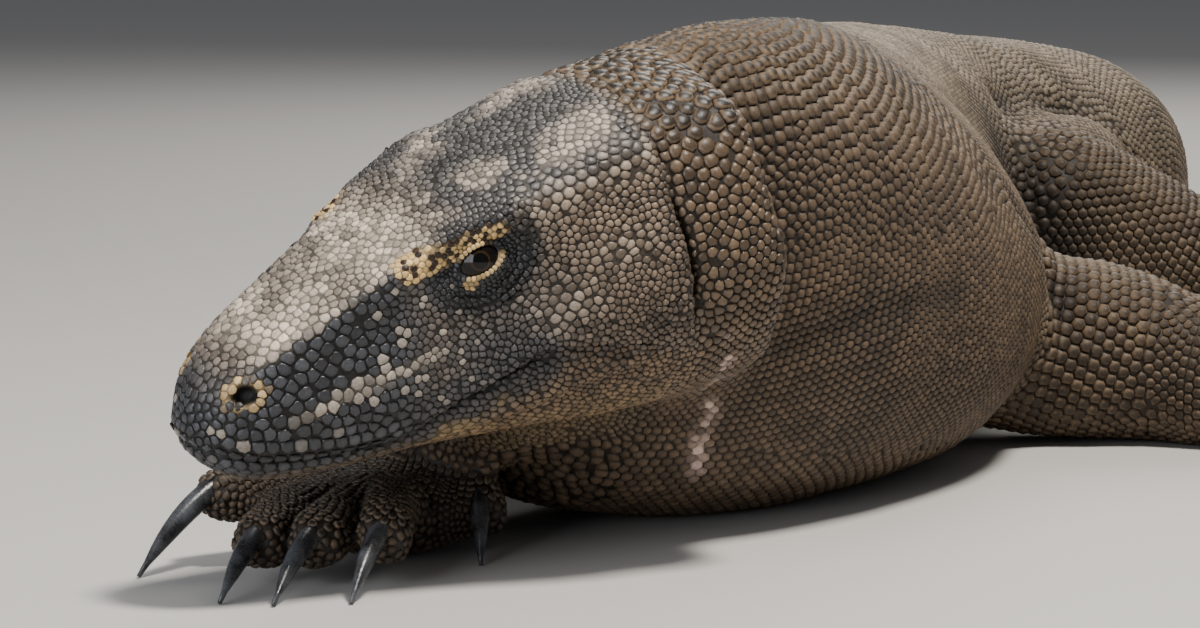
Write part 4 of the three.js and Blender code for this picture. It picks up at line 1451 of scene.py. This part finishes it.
def eye_material():
    """Dark brown iris and black pupil under a wet surface."""
    material, nodes, shader = new_material("eye")
    off_axis = nodes.mask("off_axis")
    fleck = nodes.noise(nodes.place(), 700.0, 4.0)
    iris = nodes.mix(nodes.span(fleck, 0.35, 0.7), linear(8, 6, 5), linear(28, 20, 14))
    white = nodes.mix(nodes.span(off_axis, IRIS, WHITE), iris, linear(18, 14, 12))
    ring = nodes.times(nodes.span(off_axis, 15.0, 17.0),
                       nodes.span(off_axis, 21.0, 17.0, 0.0, 1.0))
    tone = nodes.mix(nodes.times(ring, 0.25), white, linear(96, 70, 40))
    pupil = nodes.span(off_axis, 15.0, PUPIL)
    nodes.set(shader["Base Color"], nodes.mix(pupil, (0.002, 0.002, 0.002, 1), tone))
    nodes.set(shader["Roughness"], 0.05)
    nodes.set(shader["Specular IOR Level"], 0.3)
    return material


def claw_material():
    """Blue-black horn, clouded and finely scratched."""
    material, nodes, shader = new_material("claw")
    place = nodes.place()
    broad, fine = nodes.noise(place, 90.0, 4.0), nodes.noise(place, 1300.0, 3.0)
    tone = nodes.mix(nodes.span(broad, 0.35, 0.68), linear(24, 24, 26), linear(80, 83, 87))
    tone = nodes.mix(nodes.span(fine, 0.62, 0.75, 0.0, 0.3), tone, linear(116, 116, 113))
    nodes.set(shader["Base Color"], tone)
    nodes.set(shader["Roughness"], nodes.span(fine, 0.3, 0.7, 0.20, 0.38))
    nodes.relief(shader, fine, 0.3)
    return material


# Groove and crest tones of each hide: the dark groove partly painted shade, the light crest partly
# painted light.
hides = {
    "body_hide": hide_material("body_hide", (26, 22, 16), (116, 104, 86), 0.6, 0.62),
    "head_hide": hide_material("head_hide", (20, 15, 12), (112, 99, 88), 0.9, 0.40),
    "jaw_hide": hide_material("jaw_hide", (18, 12, 8), (120, 98, 74), 0.8, 0.50),
    "limb_hide": hide_material("limb_hide", (20, 16, 12), (100, 87, 70), 0.6, 0.60),
}
horn, wet = claw_material(), eye_material()
for piece, material in (
        [(hide, hides["body_hide"])] + [(piece, hides[slot]) for piece, slot in scale_pieces]
        + [(claw, horn) for claw in claws] + [(eye, wet) for eye in eyeballs]):
    piece.data.materials.append(material)

# ---- camera, floor and light
CAMERA_AT = (0, -1600, 303)
CAMERA_DOWN = math.radians(6.66)
FLOOR_HALF = 8.0
LIGHTS = (  # place, what it points at, size, power and colour
    ("key", (0.40, -1.15, 1.95), (-0.15, -0.6, 0.1), 0.35, 68, (1.0, 0.95, 0.88)),
    ("fill", (-1.5, -2.4, 0.6), (-0.15, -0.7, 0.05), 1.6, 46, (0.92, 0.95, 1.0)),
    ("back", (0.6, 1.9, 1.8), (0, 0, 0.1), 1.6, 42, (1.0, 0.97, 0.92)),
)


def add_camera():
    camera = object_of("camera", bpy.data.cameras.new("camera"))
    camera.data.sensor_width = 36
    camera.data.lens = 120
    camera.data.clip_end = 50
    camera.location = to_row(CAMERA_AT)
    camera.rotation_euler = (math.pi / 2 - CAMERA_DOWN, 0, 0)
    bpy.context.scene.camera = camera


def add_floor():
    floor = bpy.data.meshes.new("floor")
    corners = [(x * FLOOR_HALF, y * FLOOR_HALF, 0)
               for x, y in ((-1, -1), (1, -1), (1, 1), (-1, 1))]
    floor.from_pydata(corners, [], [(0, 1, 2, 3)])
    floor = object_of("floor", floor)
    material, nodes, shader = new_material("floor")
    nodes.set(shader["Base Color"], (0.50, 0.485, 0.46, 1))
    nodes.set(shader["Roughness"], 0.85)
    floor.data.materials.append(material)


def add_light():
    world = bpy.data.worlds.new("studio")
    bpy.context.scene.world = world
    world.use_nodes = True
    sky = world.node_tree.nodes["Background"].inputs
    sky["Color"].default_value = (0.86, 0.90, 1.0, 1)
    sky["Strength"].default_value = 0.18
    for name, place, aim, size, power, colour in LIGHTS:
        light = object_of(name, bpy.data.lights.new(name, "AREA"))
        light.data.size = size
        light.data.energy = power
        light.data.color = colour
        light.location = place
        light.rotation_euler = (Vector(place) - Vector(aim)).to_track_quat("Z", "Y").to_euler()


add_camera()
add_floor()
add_light()
